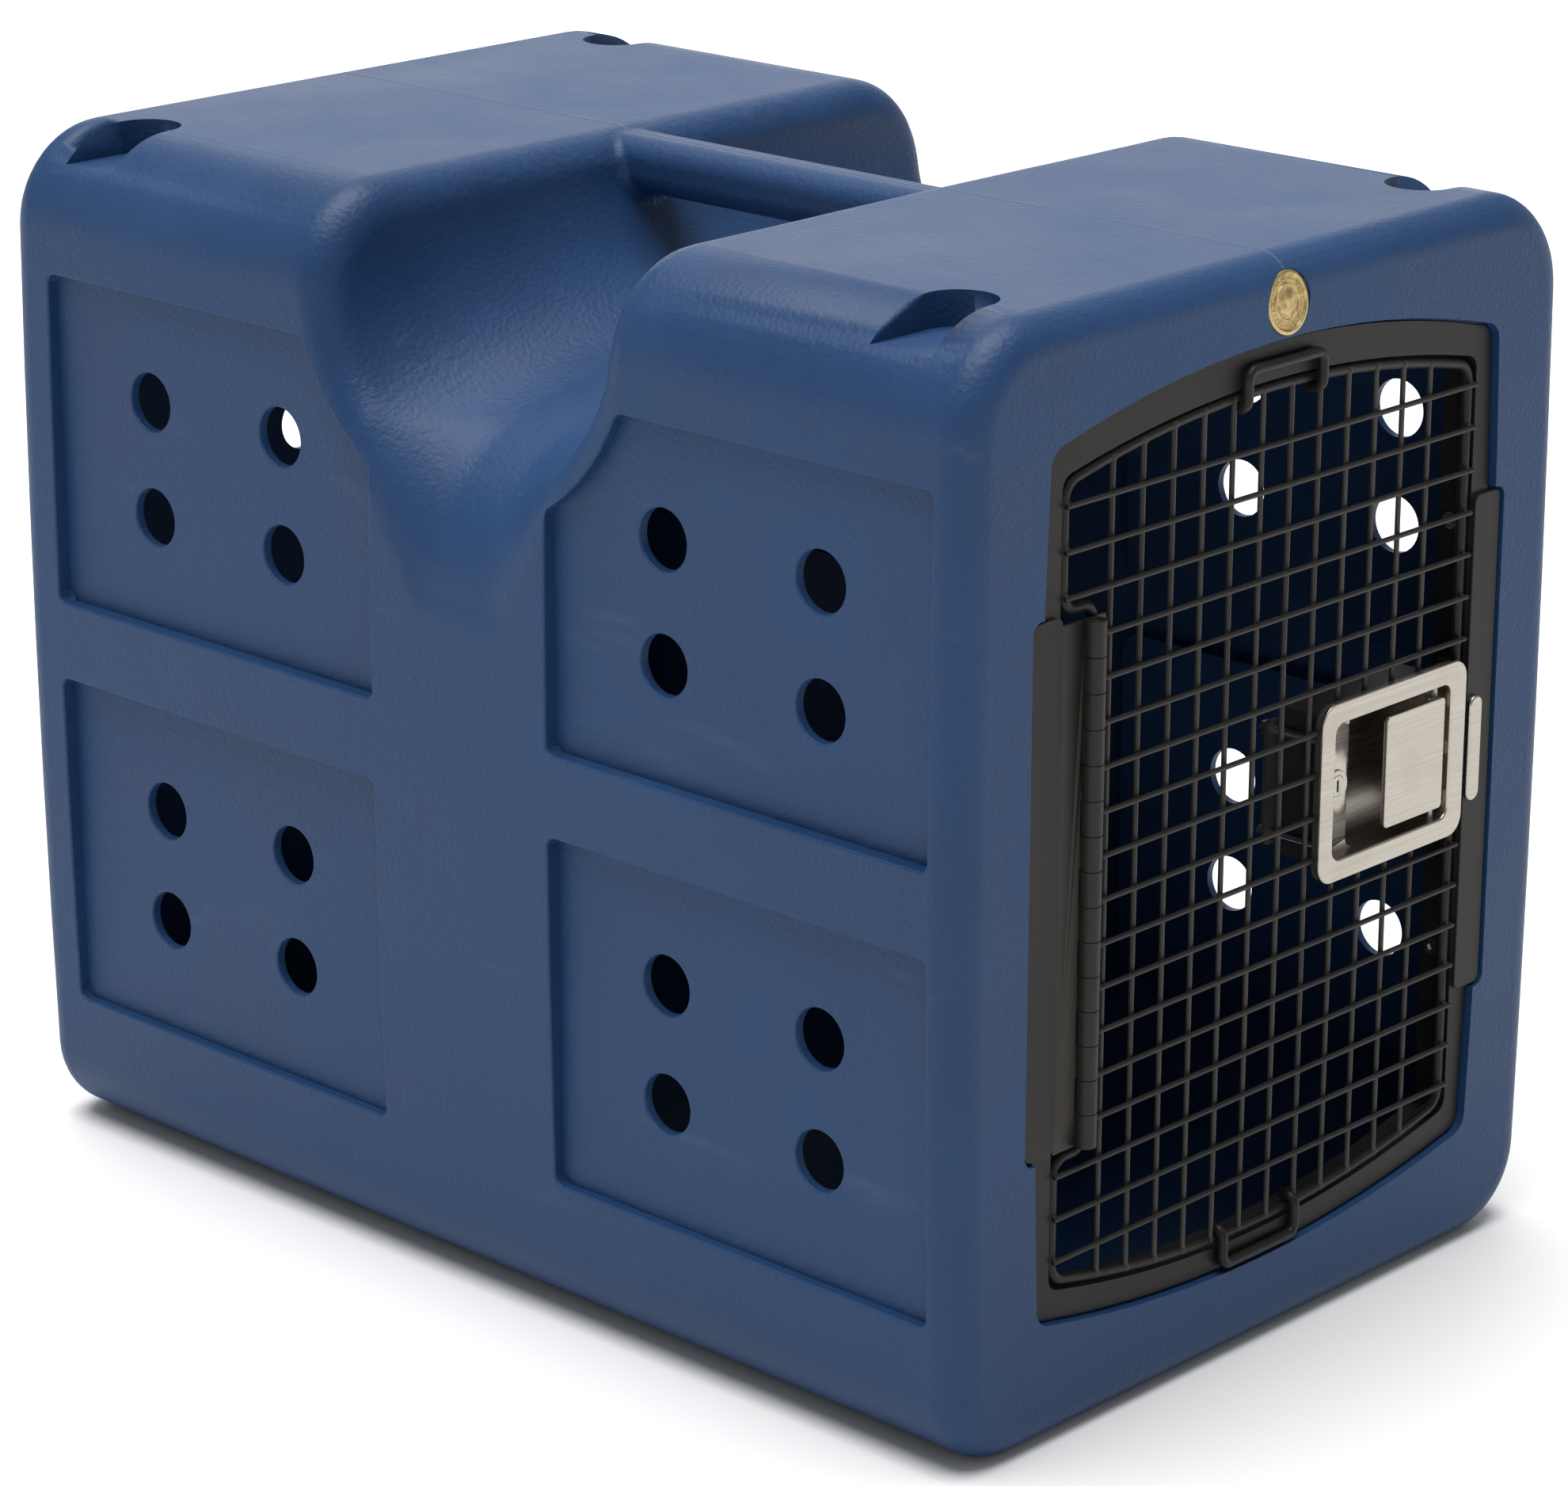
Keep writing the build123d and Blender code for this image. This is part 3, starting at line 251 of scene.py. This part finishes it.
@dataclass(frozen=True)
class MouldedPlastic:
    """Rotomoulded polyethylene: matte, faintly mottled, with an orange-peel skin, light scuffs and a painted
    highlight along the mould seam's ridge.
    """

    name: str = "moulded_navy_plastic"
    deep: Colour = (0.009, 0.037, 0.106)
    pale: Colour = (0.013, 0.048, 0.131)
    # Colour of the real scuffs, also used as the painted highlight along the mould seam.
    scuff_and_seam_highlight: Colour = (0.045, 0.078, 0.150)
    seam_width: float = 0.0016
    seam_height: float = 0.60

    def material(self) -> bpy.types.Material:
        """Builds the plastic."""
        sheet = NodeSheet(self.name)
        cloud = sheet.noise((7, 7, 7), detail=4.0, roughness=0.6)
        speck = sheet.noise((420, 420, 420), detail=2.0, shift=(3, 1, 8))
        colour = sheet.blend(sheet.spread(cloud, 0.0, 1.0, 0.32, 0.68), self.deep, self.pale)
        colour = sheet.blend(sheet.spread(speck, 0.0, 0.35, 0.5, 0.85), colour, self.pale)
        rub = sheet.noise((26, 5, 30), detail=5.0, roughness=0.72, shift=(9, 2, 4))
        colour = sheet.blend(sheet.spread(rub, 0.0, 0.5, 0.62, 0.78), colour, self.scuff_and_seam_highlight)
        seam = sheet.stripe(self.seam_width, self.seam_height)
        # The seam's ridge is a bump; lightening its colour here is a painted highlight along the ridge.
        colour = sheet.blend(sheet.sums("MULTIPLY", seam, 0.8), colour, self.scuff_and_seam_highlight)
        sheet.link(colour, sheet.shader.inputs["Base Color"])
        sheet.link(sheet.spread(cloud, 0.44, 0.56, 0.3, 0.7), sheet.shader.inputs["Roughness"])
        sheet.put("Specular IOR Level", 0.27)
        peel = sheet.noise((310, 310, 310), detail=2.0, roughness=0.45)
        grit = sheet.noise((1400, 1400, 1400), detail=1.0, shift=(5, 5, 1))
        wave = sheet.noise((9, 9, 9), detail=1.0, shift=(1, 7, 2))
        sheet.relief([(wave, 0.0016), (peel, 0.00045), (grit, 0.00010), (seam, 0.0008)])
        return sheet.material


@dataclass(frozen=True)
class PowderCoat:
    """Satin powder coat on steel: a fine orange peel, a little dust and rubbed edges."""

    name: str
    colour: Colour = (0.010, 0.009, 0.008)
    dust: Colour = (0.022, 0.020, 0.018)
    rubbed: Colour = (0.075, 0.068, 0.060)
    shine: float = 0.40

    def material(self) -> bpy.types.Material:
        """Builds the coat."""
        sheet = NodeSheet(self.name)
        patch = sheet.noise((14, 14, 14), detail=4.0, roughness=0.6)
        speck = sheet.noise((900, 900, 900), detail=2.0, shift=(2, 6, 1))
        colour = sheet.blend(sheet.spread(patch, 0.0, 0.7, 0.35, 0.75), self.colour, self.dust)
        colour = sheet.blend(sheet.spread(speck, 0.0, 0.3, 0.55, 0.8), colour, self.dust)
        colour = sheet.blend(sheet.sums("MULTIPLY", sheet.edge_wear(0.53, 0.62), 0.6), colour, self.rubbed)
        sheet.link(colour, sheet.shader.inputs["Base Color"])
        shine = sheet.spread(patch, self.shine - 0.05, self.shine + 0.12)
        sheet.link(shine, sheet.shader.inputs["Roughness"])
        sheet.put("Specular IOR Level", 0.2)
        peel = sheet.noise((1100, 1100, 1100), detail=2.0)
        sheet.relief([(peel, 0.00012)])
        return sheet.material


@dataclass(frozen=True)
class BrushedMetal:
    """Bare metal with a brushed or drawn grain along one axis."""

    name: str
    colour: Colour
    stain: Colour
    grain: Axis = Axis.X
    rough: float = 0.26
    depth: float = 0.00003

    def material(self) -> bpy.types.Material:
        """Builds the metal."""
        sheet = NodeSheet(self.name)
        fine = [2600.0, 2600.0, 2600.0]
        fine[self.grain.value] = 26.0
        coarse = [700.0, 700.0, 700.0]
        coarse[self.grain.value] = 9.0
        lines = sheet.noise(tuple(fine), detail=3.0, roughness=0.6)
        bands = sheet.noise(tuple(coarse), detail=2.0, shift=(4, 2, 7))
        stain = sheet.noise((30, 30, 30), detail=4.0, shift=(8, 1, 3))
        colour = sheet.blend(sheet.spread(bands, 0.0, 0.55, 0.3, 0.7), self.colour, self.stain)
        colour = sheet.blend(sheet.spread(stain, 0.0, 0.5, 0.5, 0.8), colour, self.stain)
        sheet.link(colour, sheet.shader.inputs["Base Color"])
        rough = sheet.spread(lines, self.rough - 0.06, self.rough + 0.14, 0.25, 0.75)
        sheet.link(rough, sheet.shader.inputs["Roughness"])
        sheet.put("Metallic", 1.0)
        sheet.relief([(lines, self.depth), (bands, self.depth)])
        return sheet.material


@dataclass(frozen=True)
class AgedGold:
    """A gold coloured plate, dulled in its hollows."""

    name: str = "aged_gold"
    bright: Colour = (0.58, 0.44, 0.20)
    dull: Colour = (0.24, 0.175, 0.085)

    def material(self) -> bpy.types.Material:
        """Builds the plate's finish."""
        sheet = NodeSheet(self.name)
        tarnish = sheet.noise((220, 220, 220), detail=5.0, roughness=0.65)
        colour = sheet.blend(sheet.spread(tarnish, 0.0, 1.0, 0.4, 0.66), self.bright, self.dull)
        colour = sheet.blend(sheet.edge_wear(0.5, 0.6), colour, self.bright)
        sheet.link(colour, sheet.shader.inputs["Base Color"])
        sheet.link(sheet.spread(tarnish, 0.3, 0.52), sheet.shader.inputs["Roughness"])
        sheet.put("Metallic", 1.0)
        sheet.relief([(sheet.noise((1500, 1500, 1500), detail=2.0), 0.00006)])
        return sheet.material


@dataclass(frozen=True)
class BlackCover:
    """Satin black sheet or rubber, with dust on it."""

    name: str
    colour: Colour = (0.012, 0.012, 0.013)
    dust: Colour = (0.045, 0.042, 0.040)
    rough: float = 0.42

    def material(self) -> bpy.types.Material:
        """Builds the cover's finish."""
        sheet = NodeSheet(self.name)
        film = sheet.noise((40, 40, 40), detail=5.0, roughness=0.65)
        colour = sheet.blend(sheet.spread(film, 0.0, 0.6, 0.45, 0.8), self.colour, self.dust)
        sheet.link(colour, sheet.shader.inputs["Base Color"])
        sheet.link(sheet.spread(film, self.rough, self.rough + 0.15), sheet.shader.inputs["Roughness"])
        sheet.relief([(sheet.noise((1300, 1300, 1300), detail=2.0), 0.00008)])
        return sheet.material


@dataclass(frozen=True)
class PaleFloor:
    """A plain pale studio floor."""

    name: str = "pale_floor"
    colour: Colour = (0.80, 0.80, 0.80)

    def material(self) -> bpy.types.Material:
        """Builds the floor's finish."""
        sheet = NodeSheet(self.name)
        sheet.put("Base Color", (*self.colour, 1.0))
        sheet.put("Roughness", 0.85)
        sheet.put("Specular IOR Level", 0.15)
        return sheet.material


class Finishes:
    """Every finish of the kennel, each made once."""

    def __init__(self) -> None:
        """Builds the materials."""
        self.plastic = MouldedPlastic().material()
        self.coat = PowderCoat("frame_powder_coat").material()
        self.wire = PowderCoat("wire_powder_coat", shine=0.36).material()
        self.stainless = BrushedMetal("brushed_stainless", (0.45, 0.415, 0.365), (0.33, 0.30, 0.26)).material()
        self.drawn = BrushedMetal("drawn_steel", (0.46, 0.44, 0.41), (0.30, 0.27, 0.24), Axis.Z, 0.34).material()
        self.zinc = BrushedMetal("bright_zinc", (0.72, 0.72, 0.70), (0.52, 0.51, 0.47), Axis.Y, 0.22).material()
        self.casting = BrushedMetal("plated_casting", (0.50, 0.48, 0.43), (0.33, 0.31, 0.27), Axis.Z, 0.36).material()
        self.gold = AgedGold().material()
        self.black = BlackCover("black_cover").material()
        self.rubber = BlackCover("seal_rubber", rough=0.7).material()


# ---------------------------------------------------------------- mesh helpers


def new_piece(name: str, mesh: bmesh.types.BMesh, material: bpy.types.Material) -> bpy.types.Object:
    """Turns a finished bmesh into a piece of the scene.

    Args:
        name: The piece's name.
        mesh: Its geometry, which is freed.
        material: Its finish.

    Returns:
        The new object.
    """
    data = bpy.data.meshes.new(name)
    mesh.to_mesh(data)
    mesh.free()
    data.materials.append(material)
    piece = bpy.data.objects.new(name, data)
    bpy.context.scene.collection.objects.link(piece)
    log.info("%s: %d faces", name, len(data.polygons))
    return piece


def dress(node: str, material: bpy.types.Material) -> None:
    """Gives a CAD node its finish."""
    piece = frame["nodes"][node]
    piece.data.materials.clear()
    piece.data.materials.append(material)
    log.info("%s dressed in %s", node, material.name)


def merged_copy(node: str) -> bmesh.types.BMesh:
    """A CAD node's mesh with its loose triangles joined and its flat stretches made one face each.

    Args:
        node: The CAD node.

    Returns:
        The copy.
    """
    mesh = bmesh.new()
    mesh.from_mesh(frame["nodes"][node].data)
    bmesh.ops.remove_doubles(mesh, verts=mesh.verts, dist=2e-6)
    bmesh.ops.dissolve_degenerate(mesh, dist=1e-6, edges=mesh.edges)
    bmesh.ops.dissolve_limit(
        mesh,
        angle_limit=math.radians(0.05),
        verts=mesh.verts,
        edges=mesh.edges,
        use_dissolve_boundaries=False,
    )
    return mesh


def softened(
    node: str,
    material: bpy.types.Material,
    width: float,
    segments: int = 2,
    crease: float = 38.0,
    reshape: Callable[[bmesh.types.BMesh], None] | None = None,
) -> bpy.types.Object:
    """A merged copy of a CAD node with its sharp edges rolled over and its curves shaded smooth.

    Args:
        node: The CAD node it stands for.
        material: Its finish.
        width: How far the edges are rolled, in metres; 0 leaves them sharp.
        segments: Steps across a rolled edge.
        crease: The angle above which an edge counts as sharp, in degrees.
        reshape: A last change to the mesh before it becomes a piece.

    Returns:
        The new piece, riding on the node's body.
    """
    mesh = merged_copy(node)
    if reshape is not None:
        reshape(mesh)
    piece = new_piece(f"{node}_finished", mesh, material)
    piece.data.shade_smooth()
    if width > 0:
        bevel = piece.modifiers.new("rolled_edges", "BEVEL")
        bevel.width = width
        bevel.segments = segments
        bevel.limit_method = "ANGLE"
        bevel.angle_limit = math.radians(crease)
        bevel.use_clamp_overlap = True
        bevel.harden_normals = False
    piece.data.set_sharp_from_angle(angle=math.radians(crease))
    normals = piece.modifiers.new("even_shading", "WEIGHTED_NORMAL")
    normals.keep_sharp = True
    normals.weight = 80
    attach(piece, frame["nodes"][node]["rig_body"])
    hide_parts(node)
    return piece


def loose_boxes(node: str) -> list[tuple[Vector, Vector]]:
    """The lowest and highest corner of each separate solid in a CAD node.

    Args:
        node: The CAD node.

    Returns:
        One pair of corners for each solid.
    """
    mesh = bmesh.new()
    mesh.from_mesh(frame["nodes"][node].data)
    bmesh.ops.remove_doubles(mesh, verts=mesh.verts, dist=2e-6)
    left = set(mesh.verts)
    boxes = []
    while left:
        island = {left.pop()}
        edge_of_island = list(island)
        while edge_of_island:
            vertex = edge_of_island.pop()
            for edge in vertex.link_edges:
                other = edge.other_vert(vertex)
                if other in left:
                    left.discard(other)
                    island.add(other)
                    edge_of_island.append(other)
        places = [vertex.co for vertex in island]
        low = Vector([min(place[i] for place in places) for i in range(3)])
        high = Vector([max(place[i] for place in places) for i in range(3)])
        boxes.append((low, high))
    mesh.free()
    return sorted(boxes, key=lambda pair: tuple(pair[0]))


# ---------------------------------------------------------------- studio


@dataclass
class Studio:
    """The floor, the lights and the camera.

    The camera stands where the shell's corner between the door and the vented side faces it.
    """

    lens: float = 115.2
    azimuth: float = -46.445
    elevation: float = 18.32
    distance: float = 3.0752
    target: Vector = field(default_factory=lambda: Vector((-0.0027, -0.0166, 0.2825)))
    floor_size: float = 60.0

    def build(self) -> None:
        """Puts up the whole studio."""
        self.floor()
        self.camera()
        self.world()
        self.sun()
        self.light("back_box", (2.7, 2.6, 1.9), (0, 0, 0.5), 3.0, 36)

    def floor(self) -> None:
        """Lays the floor."""
        mesh = bmesh.new()
        bmesh.ops.create_grid(mesh, x_segments=1, y_segments=1, size=self.floor_size / 2)
        new_piece("studio_floor", mesh, PaleFloor().material())

    def camera(self) -> None:
        """Sets up the camera round the target."""
        turn = math.radians(self.azimuth)
        lift = math.radians(self.elevation)
        back = Vector((math.sin(turn) * math.cos(lift), -math.cos(turn) * math.cos(lift), math.sin(lift)))
        data = bpy.data.cameras.new("camera")
        data.lens = self.lens
        data.sensor_width = 36.0
        data.clip_end = 100.0
        camera = bpy.data.objects.new("camera", data)
        camera.location = self.target + back * self.distance
        camera.rotation_mode = "QUATERNION"
        camera.rotation_quaternion = (-back).to_track_quat("-Z", "Y")
        bpy.context.scene.collection.objects.link(camera)
        bpy.context.scene.camera = camera

    def world(self) -> None:
        """Fills the room with an even pale light."""
        world = bpy.data.worlds.new("room")
        world.use_nodes = True
        sky = world.node_tree.nodes["Background"]
        sky.inputs["Color"].default_value = (1.0, 1.0, 1.0, 1.0)
        sky.inputs["Strength"].default_value = 0.34
        bpy.context.scene.world = world
        bpy.context.scene.view_settings.view_transform = "Standard"

    def sun(self) -> None:
        """Lights everything evenly from above, like one very wide soft ceiling."""
        data = bpy.data.lights.new("ceiling", "SUN")
        data.energy = 4.4
        data.angle = math.radians(50)
        lamp = bpy.data.objects.new("ceiling", data)
        lamp.rotation_euler = Vector((0.08, -0.06, -1.0)).to_track_quat("-Z", "Y").to_euler()
        bpy.context.scene.collection.objects.link(lamp)

    def light(self, name: str, place: Colour, aim: Colour, size: float, power: float) -> None:
        """Hangs one soft box.

        Args:
            name: The light's name.
            place: Where it hangs.
            aim: The point it faces.
            size: Its side, in metres.
            power: Its power, in watts.
        """
        data = bpy.data.lights.new(name, "AREA")
        data.size = size
        data.energy = power
        lamp = bpy.data.objects.new(name, data)
        lamp.location = place
        lamp.rotation_euler = (Vector(aim) - Vector(place)).to_track_quat("-Z", "Y").to_euler()
        bpy.context.scene.collection.objects.link(lamp)


# ---------------------------------------------------------------- the kennel


@dataclass
class Shell:
    """The moulded shell with its medallion."""

    finishes: Finishes
    tilt: float = 7.0
    radius: float = 0.018
    thickness: float = 0.0035
    steps: int = 72
    beads: int = 28
    saddle_y: float = -0.008
    saddle_depth: float = 0.100
    crown: float = 0.700
    rim: float = 0.024
    sweep: float = 0.105
    wall: float = 0.006
    saddle_reach: float = 0.088
    saddle_flat: float = 0.017
    corner: float = 0.095
    strip: float = 0.007
    side_lean: float = 0.0024
    sill_band: float = 0.09
    saddle_low: float = 0.4
    crease: float = 17.0

    def build(self) -> None:
        """Dresses the shell and makes the medallion."""
        softened(
            "kennel_shell",
            self.finishes.plastic,
            0.0,
            crease=self.crease,
            reshape=self.melt_saddle_sill,
        )
        self.medallion()

    def melt_saddle_sill(self, mesh: bmesh.types.BMesh) -> None:
        """Rolls the saddle's floor over into the side in a wide sweep, tighter towards the saddle's walls.

        Args:
            mesh: The shell's merged copy.
        """
        _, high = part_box("kennel_shell")
        side_x = high.x - self.side_lean
        axis_z = high.z - self.saddle_depth - self.crown
        self.score(mesh, side_x, axis_z + math.sqrt(self.crown**2 - side_x**2))
        mesh.normal_update()
        for vertex in mesh.verts:
            offset = abs(vertex.co.y - self.saddle_y)
            side = 1 if vertex.co.x > 0 else -1
            beside = abs(vertex.co.x) > side_x - self.sill_band and offset <= self.saddle_reach
            if not beside or vertex.co.z < self.saddle_low:
                continue
            climb = max(0.0, offset - self.saddle_flat)
            floor = self.crown + self.corner - math.sqrt(max(0.0, self.corner**2 - climb**2))
            share = min(1.0, (self.saddle_reach - offset) / (self.saddle_reach - self.saddle_flat))
            radius = self.rim + (self.sweep - self.rim) * share * share * (3 - 2 * share)
            centre_x = side_x - radius
            lift = math.sqrt((floor - radius) ** 2 - centre_x**2)
            centre = Vector((centre_x, axis_z + lift))
            up = Vector((centre_x, lift)).normalized()
            away = Vector((vertex.co.x * side, vertex.co.z)) - centre
            outer = vertex.normal.x * side + vertex.normal.z > 0
            target = radius if outer else radius - self.wall
            if away.length <= target or away.y < 0 or away.dot(Vector((up.y, -up.x))) < 0:
                continue
            place = centre + away.normalized() * target
            vertex.co.x = place.x * side
            vertex.co.z = place.y

    def score(self, mesh: bmesh.types.BMesh, side_x: float, sill_z: float) -> None:
        """Cuts fine strips across the two sills so that they can bend.

        Args:
            mesh: The shell's merged copy.
            side_x: How far out the sides stand.
            sill_z: The height of the sill.
        """
        strips = int(self.saddle_reach / self.strip)
        cuts = [((0, self.saddle_y + step * self.strip, 0), (0, 1, 0)) for step in range(-strips, strips + 1)]
        cuts += [((0, 0, sill_z + step * self.strip), (0, 0, 1)) for step in range(-11, 9)]
        cuts += [((side * (side_x - step * self.strip), 0, 0), (1, 0, 0)) for step in range(13) for side in (-1, 1)]
        near = set()
        for face in mesh.faces:
            reach = [abs(vertex.co.x) for vertex in face.verts]
            along = [vertex.co.y - self.saddle_y for vertex in face.verts]
            height = [vertex.co.z for vertex in face.verts]
            close = min(along) < self.saddle_reach and max(along) > -self.saddle_reach
            level = max(height) > sill_z - 0.08 and min(height) < sill_z + 0.06
            if close and level and max(reach) > side_x - 0.08:
                near |= {face, *face.edges, *face.verts}
        geometry = list(near)
        for point, across in cuts:
            cut = bmesh.ops.bisect_plane(mesh, geom=geometry, dist=1e-7, plane_co=point, plane_no=across)
            geometry = cut["geom"]
        wide = [item for item in geometry if isinstance(item, bmesh.types.BMFace) and len(item.verts) > 4]
        bmesh.ops.triangulate(mesh, faces=wide)

    def medallion(self) -> None:
        """Spins a coin with a rolled rim, plain rings and a ring of beads."""
        reach, top = self.radius, self.thickness
        profile = [
            (0.0, top * 0.86),
            (reach * 0.10, top * 0.85),
            (reach * 0.30, top * 0.76),
            (reach * 0.34, top * 0.70),
            (reach * 0.50, top * 0.70),
            (reach * 0.53, top * 0.86),
            (reach * 0.58, top * 0.86),
            (reach * 0.61, top * 0.70),
            (reach * 0.83, top * 0.70),
            (reach * 0.86, top * 0.88),
            (reach * 0.89, top),
            (reach * 0.95, top),
            (reach * 0.99, top * 0.86),
            (reach, top * 0.70),
            (reach, 0.0),
            (0.0, 0.0),
        ]
        mesh = bmesh.new()
        points = [mesh.verts.new((across, 0.0, height)) for across, height in profile]
        edges = [mesh.edges.new(pair) for pair in zip(points, points[1:])]
        bmesh.ops.spin(
            mesh,
            geom=points + edges,
            cent=(0, 0, 0),
            axis=(0, 0, 1),
            angle=math.tau,
            steps=self.steps,
            use_merge=True,
        )
        bmesh.ops.remove_doubles(mesh, verts=mesh.verts, dist=1e-6)
        bmesh.ops.recalc_face_normals(mesh, faces=mesh.faces)
        for index in range(self.beads):
            turn = Matrix.Rotation(math.tau * index / self.beads, 4, "Z")
            place = turn @ Matrix.Translation((reach * 0.72, 0, top * 0.70)) @ Matrix.Diagonal((1, 1, 0.7, 1))
            bmesh.ops.create_icosphere(mesh, subdivisions=2, radius=reach * 0.05, matrix=place)
        low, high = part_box("badge_plate")
        lift = math.radians(self.tilt)
        outward = Vector((0, -math.cos(lift), math.sin(lift)))
        upward = Vector((0, math.sin(lift), math.cos(lift)))
        stand = Matrix((Vector((1, 0, 0)), upward, outward)).transposed().to_4x4()
        middle = (low + high) / 2 - outward * self.thickness / 2
        bmesh.ops.transform(mesh, matrix=Matrix.Translation(middle) @ stand, verts=mesh.verts)
        piece = new_piece("medallion", mesh, self.finishes.gold)
        piece.data.shade_smooth()
        piece.data.set_sharp_from_angle(angle=math.radians(35))
        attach(piece, "enclosure")
        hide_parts("badge_plate")


@dataclass
class DoorFrame:
    """The steel frame round the doorway with its side plates and strike."""

    finishes: Finishes
    edge: float = 0.0005

    def build(self) -> None:
        """Rolls the edges of the sheet steel and dresses the fastenings."""
        for node in ("door_frame", "hinge_side_plate", "latch_side_plate"):
            softened(node, self.finishes.coat, self.edge)
        softened("strike_plate", self.finishes.stainless, 0.0)
        dress("strike_rivets", self.finishes.stainless)
        dress("frame_screws", self.finishes.zinc)


@dataclass
class Hinge:
    """The long hinge."""

    finishes: Finishes

    def build(self) -> None:
        """Dresses the leaves and the pin."""
        for node in ("hinge_frame_leaf", "hinge_door_leaf"):
            softened(node, self.finishes.coat, 0.0003)
        dress("hinge_pin", self.finishes.drawn)


@dataclass
class WireDoor:
    """The rim rod, the welded wires and the two stop loops."""

    finishes: Finishes
    tip_round: float = 0.0006
    tip_crease: float = 60.0
    middle_z: float = 0.3245
    weld: Vector = field(default_factory=lambda: Vector((0.0026, 0.0013, 0.0024)))

    def build(self) -> None:
        """Dresses the rods and wires and adds their welds."""
        rods = ("door_rim_rod", "top_stop_loop", "bottom_stop_loop")
        for node in (*rods, "door_upright_wires", "door_cross_wires"):
            softened(node, self.finishes.wire, self.tip_round, crease=self.tip_crease)
        self.welds()

    def welds(self) -> None:
        """Puts a flattened weld where each wire meets the rim rod."""
        rim_low, rim_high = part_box("door_rim_rod")
        reach = (rim_high.x - rim_low.x) / 2 - (rim_high.y - rim_low.y) / 2
        rim_front = rim_low.y
        spots = []
        for low, high in loose_boxes("door_upright_wires"):
            x, y = (low.x + high.x) / 2, rim_front + 0.0008
            spots += [Vector((x, y, end)) for end in (low.z, high.z) if abs(end - self.middle_z) > 0.08]
        for low, high in loose_boxes("door_cross_wires"):
            z = (low.z + high.z) / 2
            ends = [side * reach for side in (-1, 1) if low.x <= side * reach <= high.x]
            spots += [Vector((x, rim_front, z)) for x in ends]
        mesh = bmesh.new()
        for index, spot in enumerate(spots):
            swell = 1.0 + 0.12 * math.sin(index * 12.9898)
            place = Matrix.Translation(spot) @ Matrix.Diagonal((*(self.weld * swell), 1.0))
            bmesh.ops.create_icosphere(mesh, subdivisions=2, radius=1.0, matrix=place)
        piece = new_piece("rim_welds", mesh, self.finishes.wire)
        piece.data.shade_smooth()
        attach(piece, "door")


@dataclass
class Latch:
    """The pressed pan, the paddle, the lock and the box behind them."""

    finishes: Finishes

    def build(self) -> None:
        """Dresses the latch."""
        made = self.finishes
        softened("latch_pan", made.stainless, 0.0)
        softened("latch_paddle", made.stainless, 0.0)
        for node, material in (
            ("latch_gasket", made.rubber),
            ("latch_seat_plate", made.coat),
            ("pan_rivets", made.stainless),
            ("lock_barrel", made.casting),
            ("lock_plug", made.casting),
            ("lock_cam", made.drawn),
            ("paddle_pin", made.drawn),
            ("paddle_spring", made.drawn),
            ("latch_bolt", made.drawn),
            ("latch_housing", made.black),
            ("clamp_studs", made.zinc),
            ("clamp_straps", made.coat),
            ("clamp_nuts", made.zinc),
        ):
            dress(node, material)


def main() -> None:
    """Builds the studio and the kennel in order."""
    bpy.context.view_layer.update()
    Studio().build()
    finishes = Finishes()
    for part in (Shell(finishes), DoorFrame(finishes), Hinge(finishes), WireDoor(finishes), Latch(finishes)):
        log.info("building %s", type(part).__name__)
        part.build()


if __name__ == "__main__":
    logging.basicConfig(level=logging.INFO, format="%(name)s %(message)s")
    main()
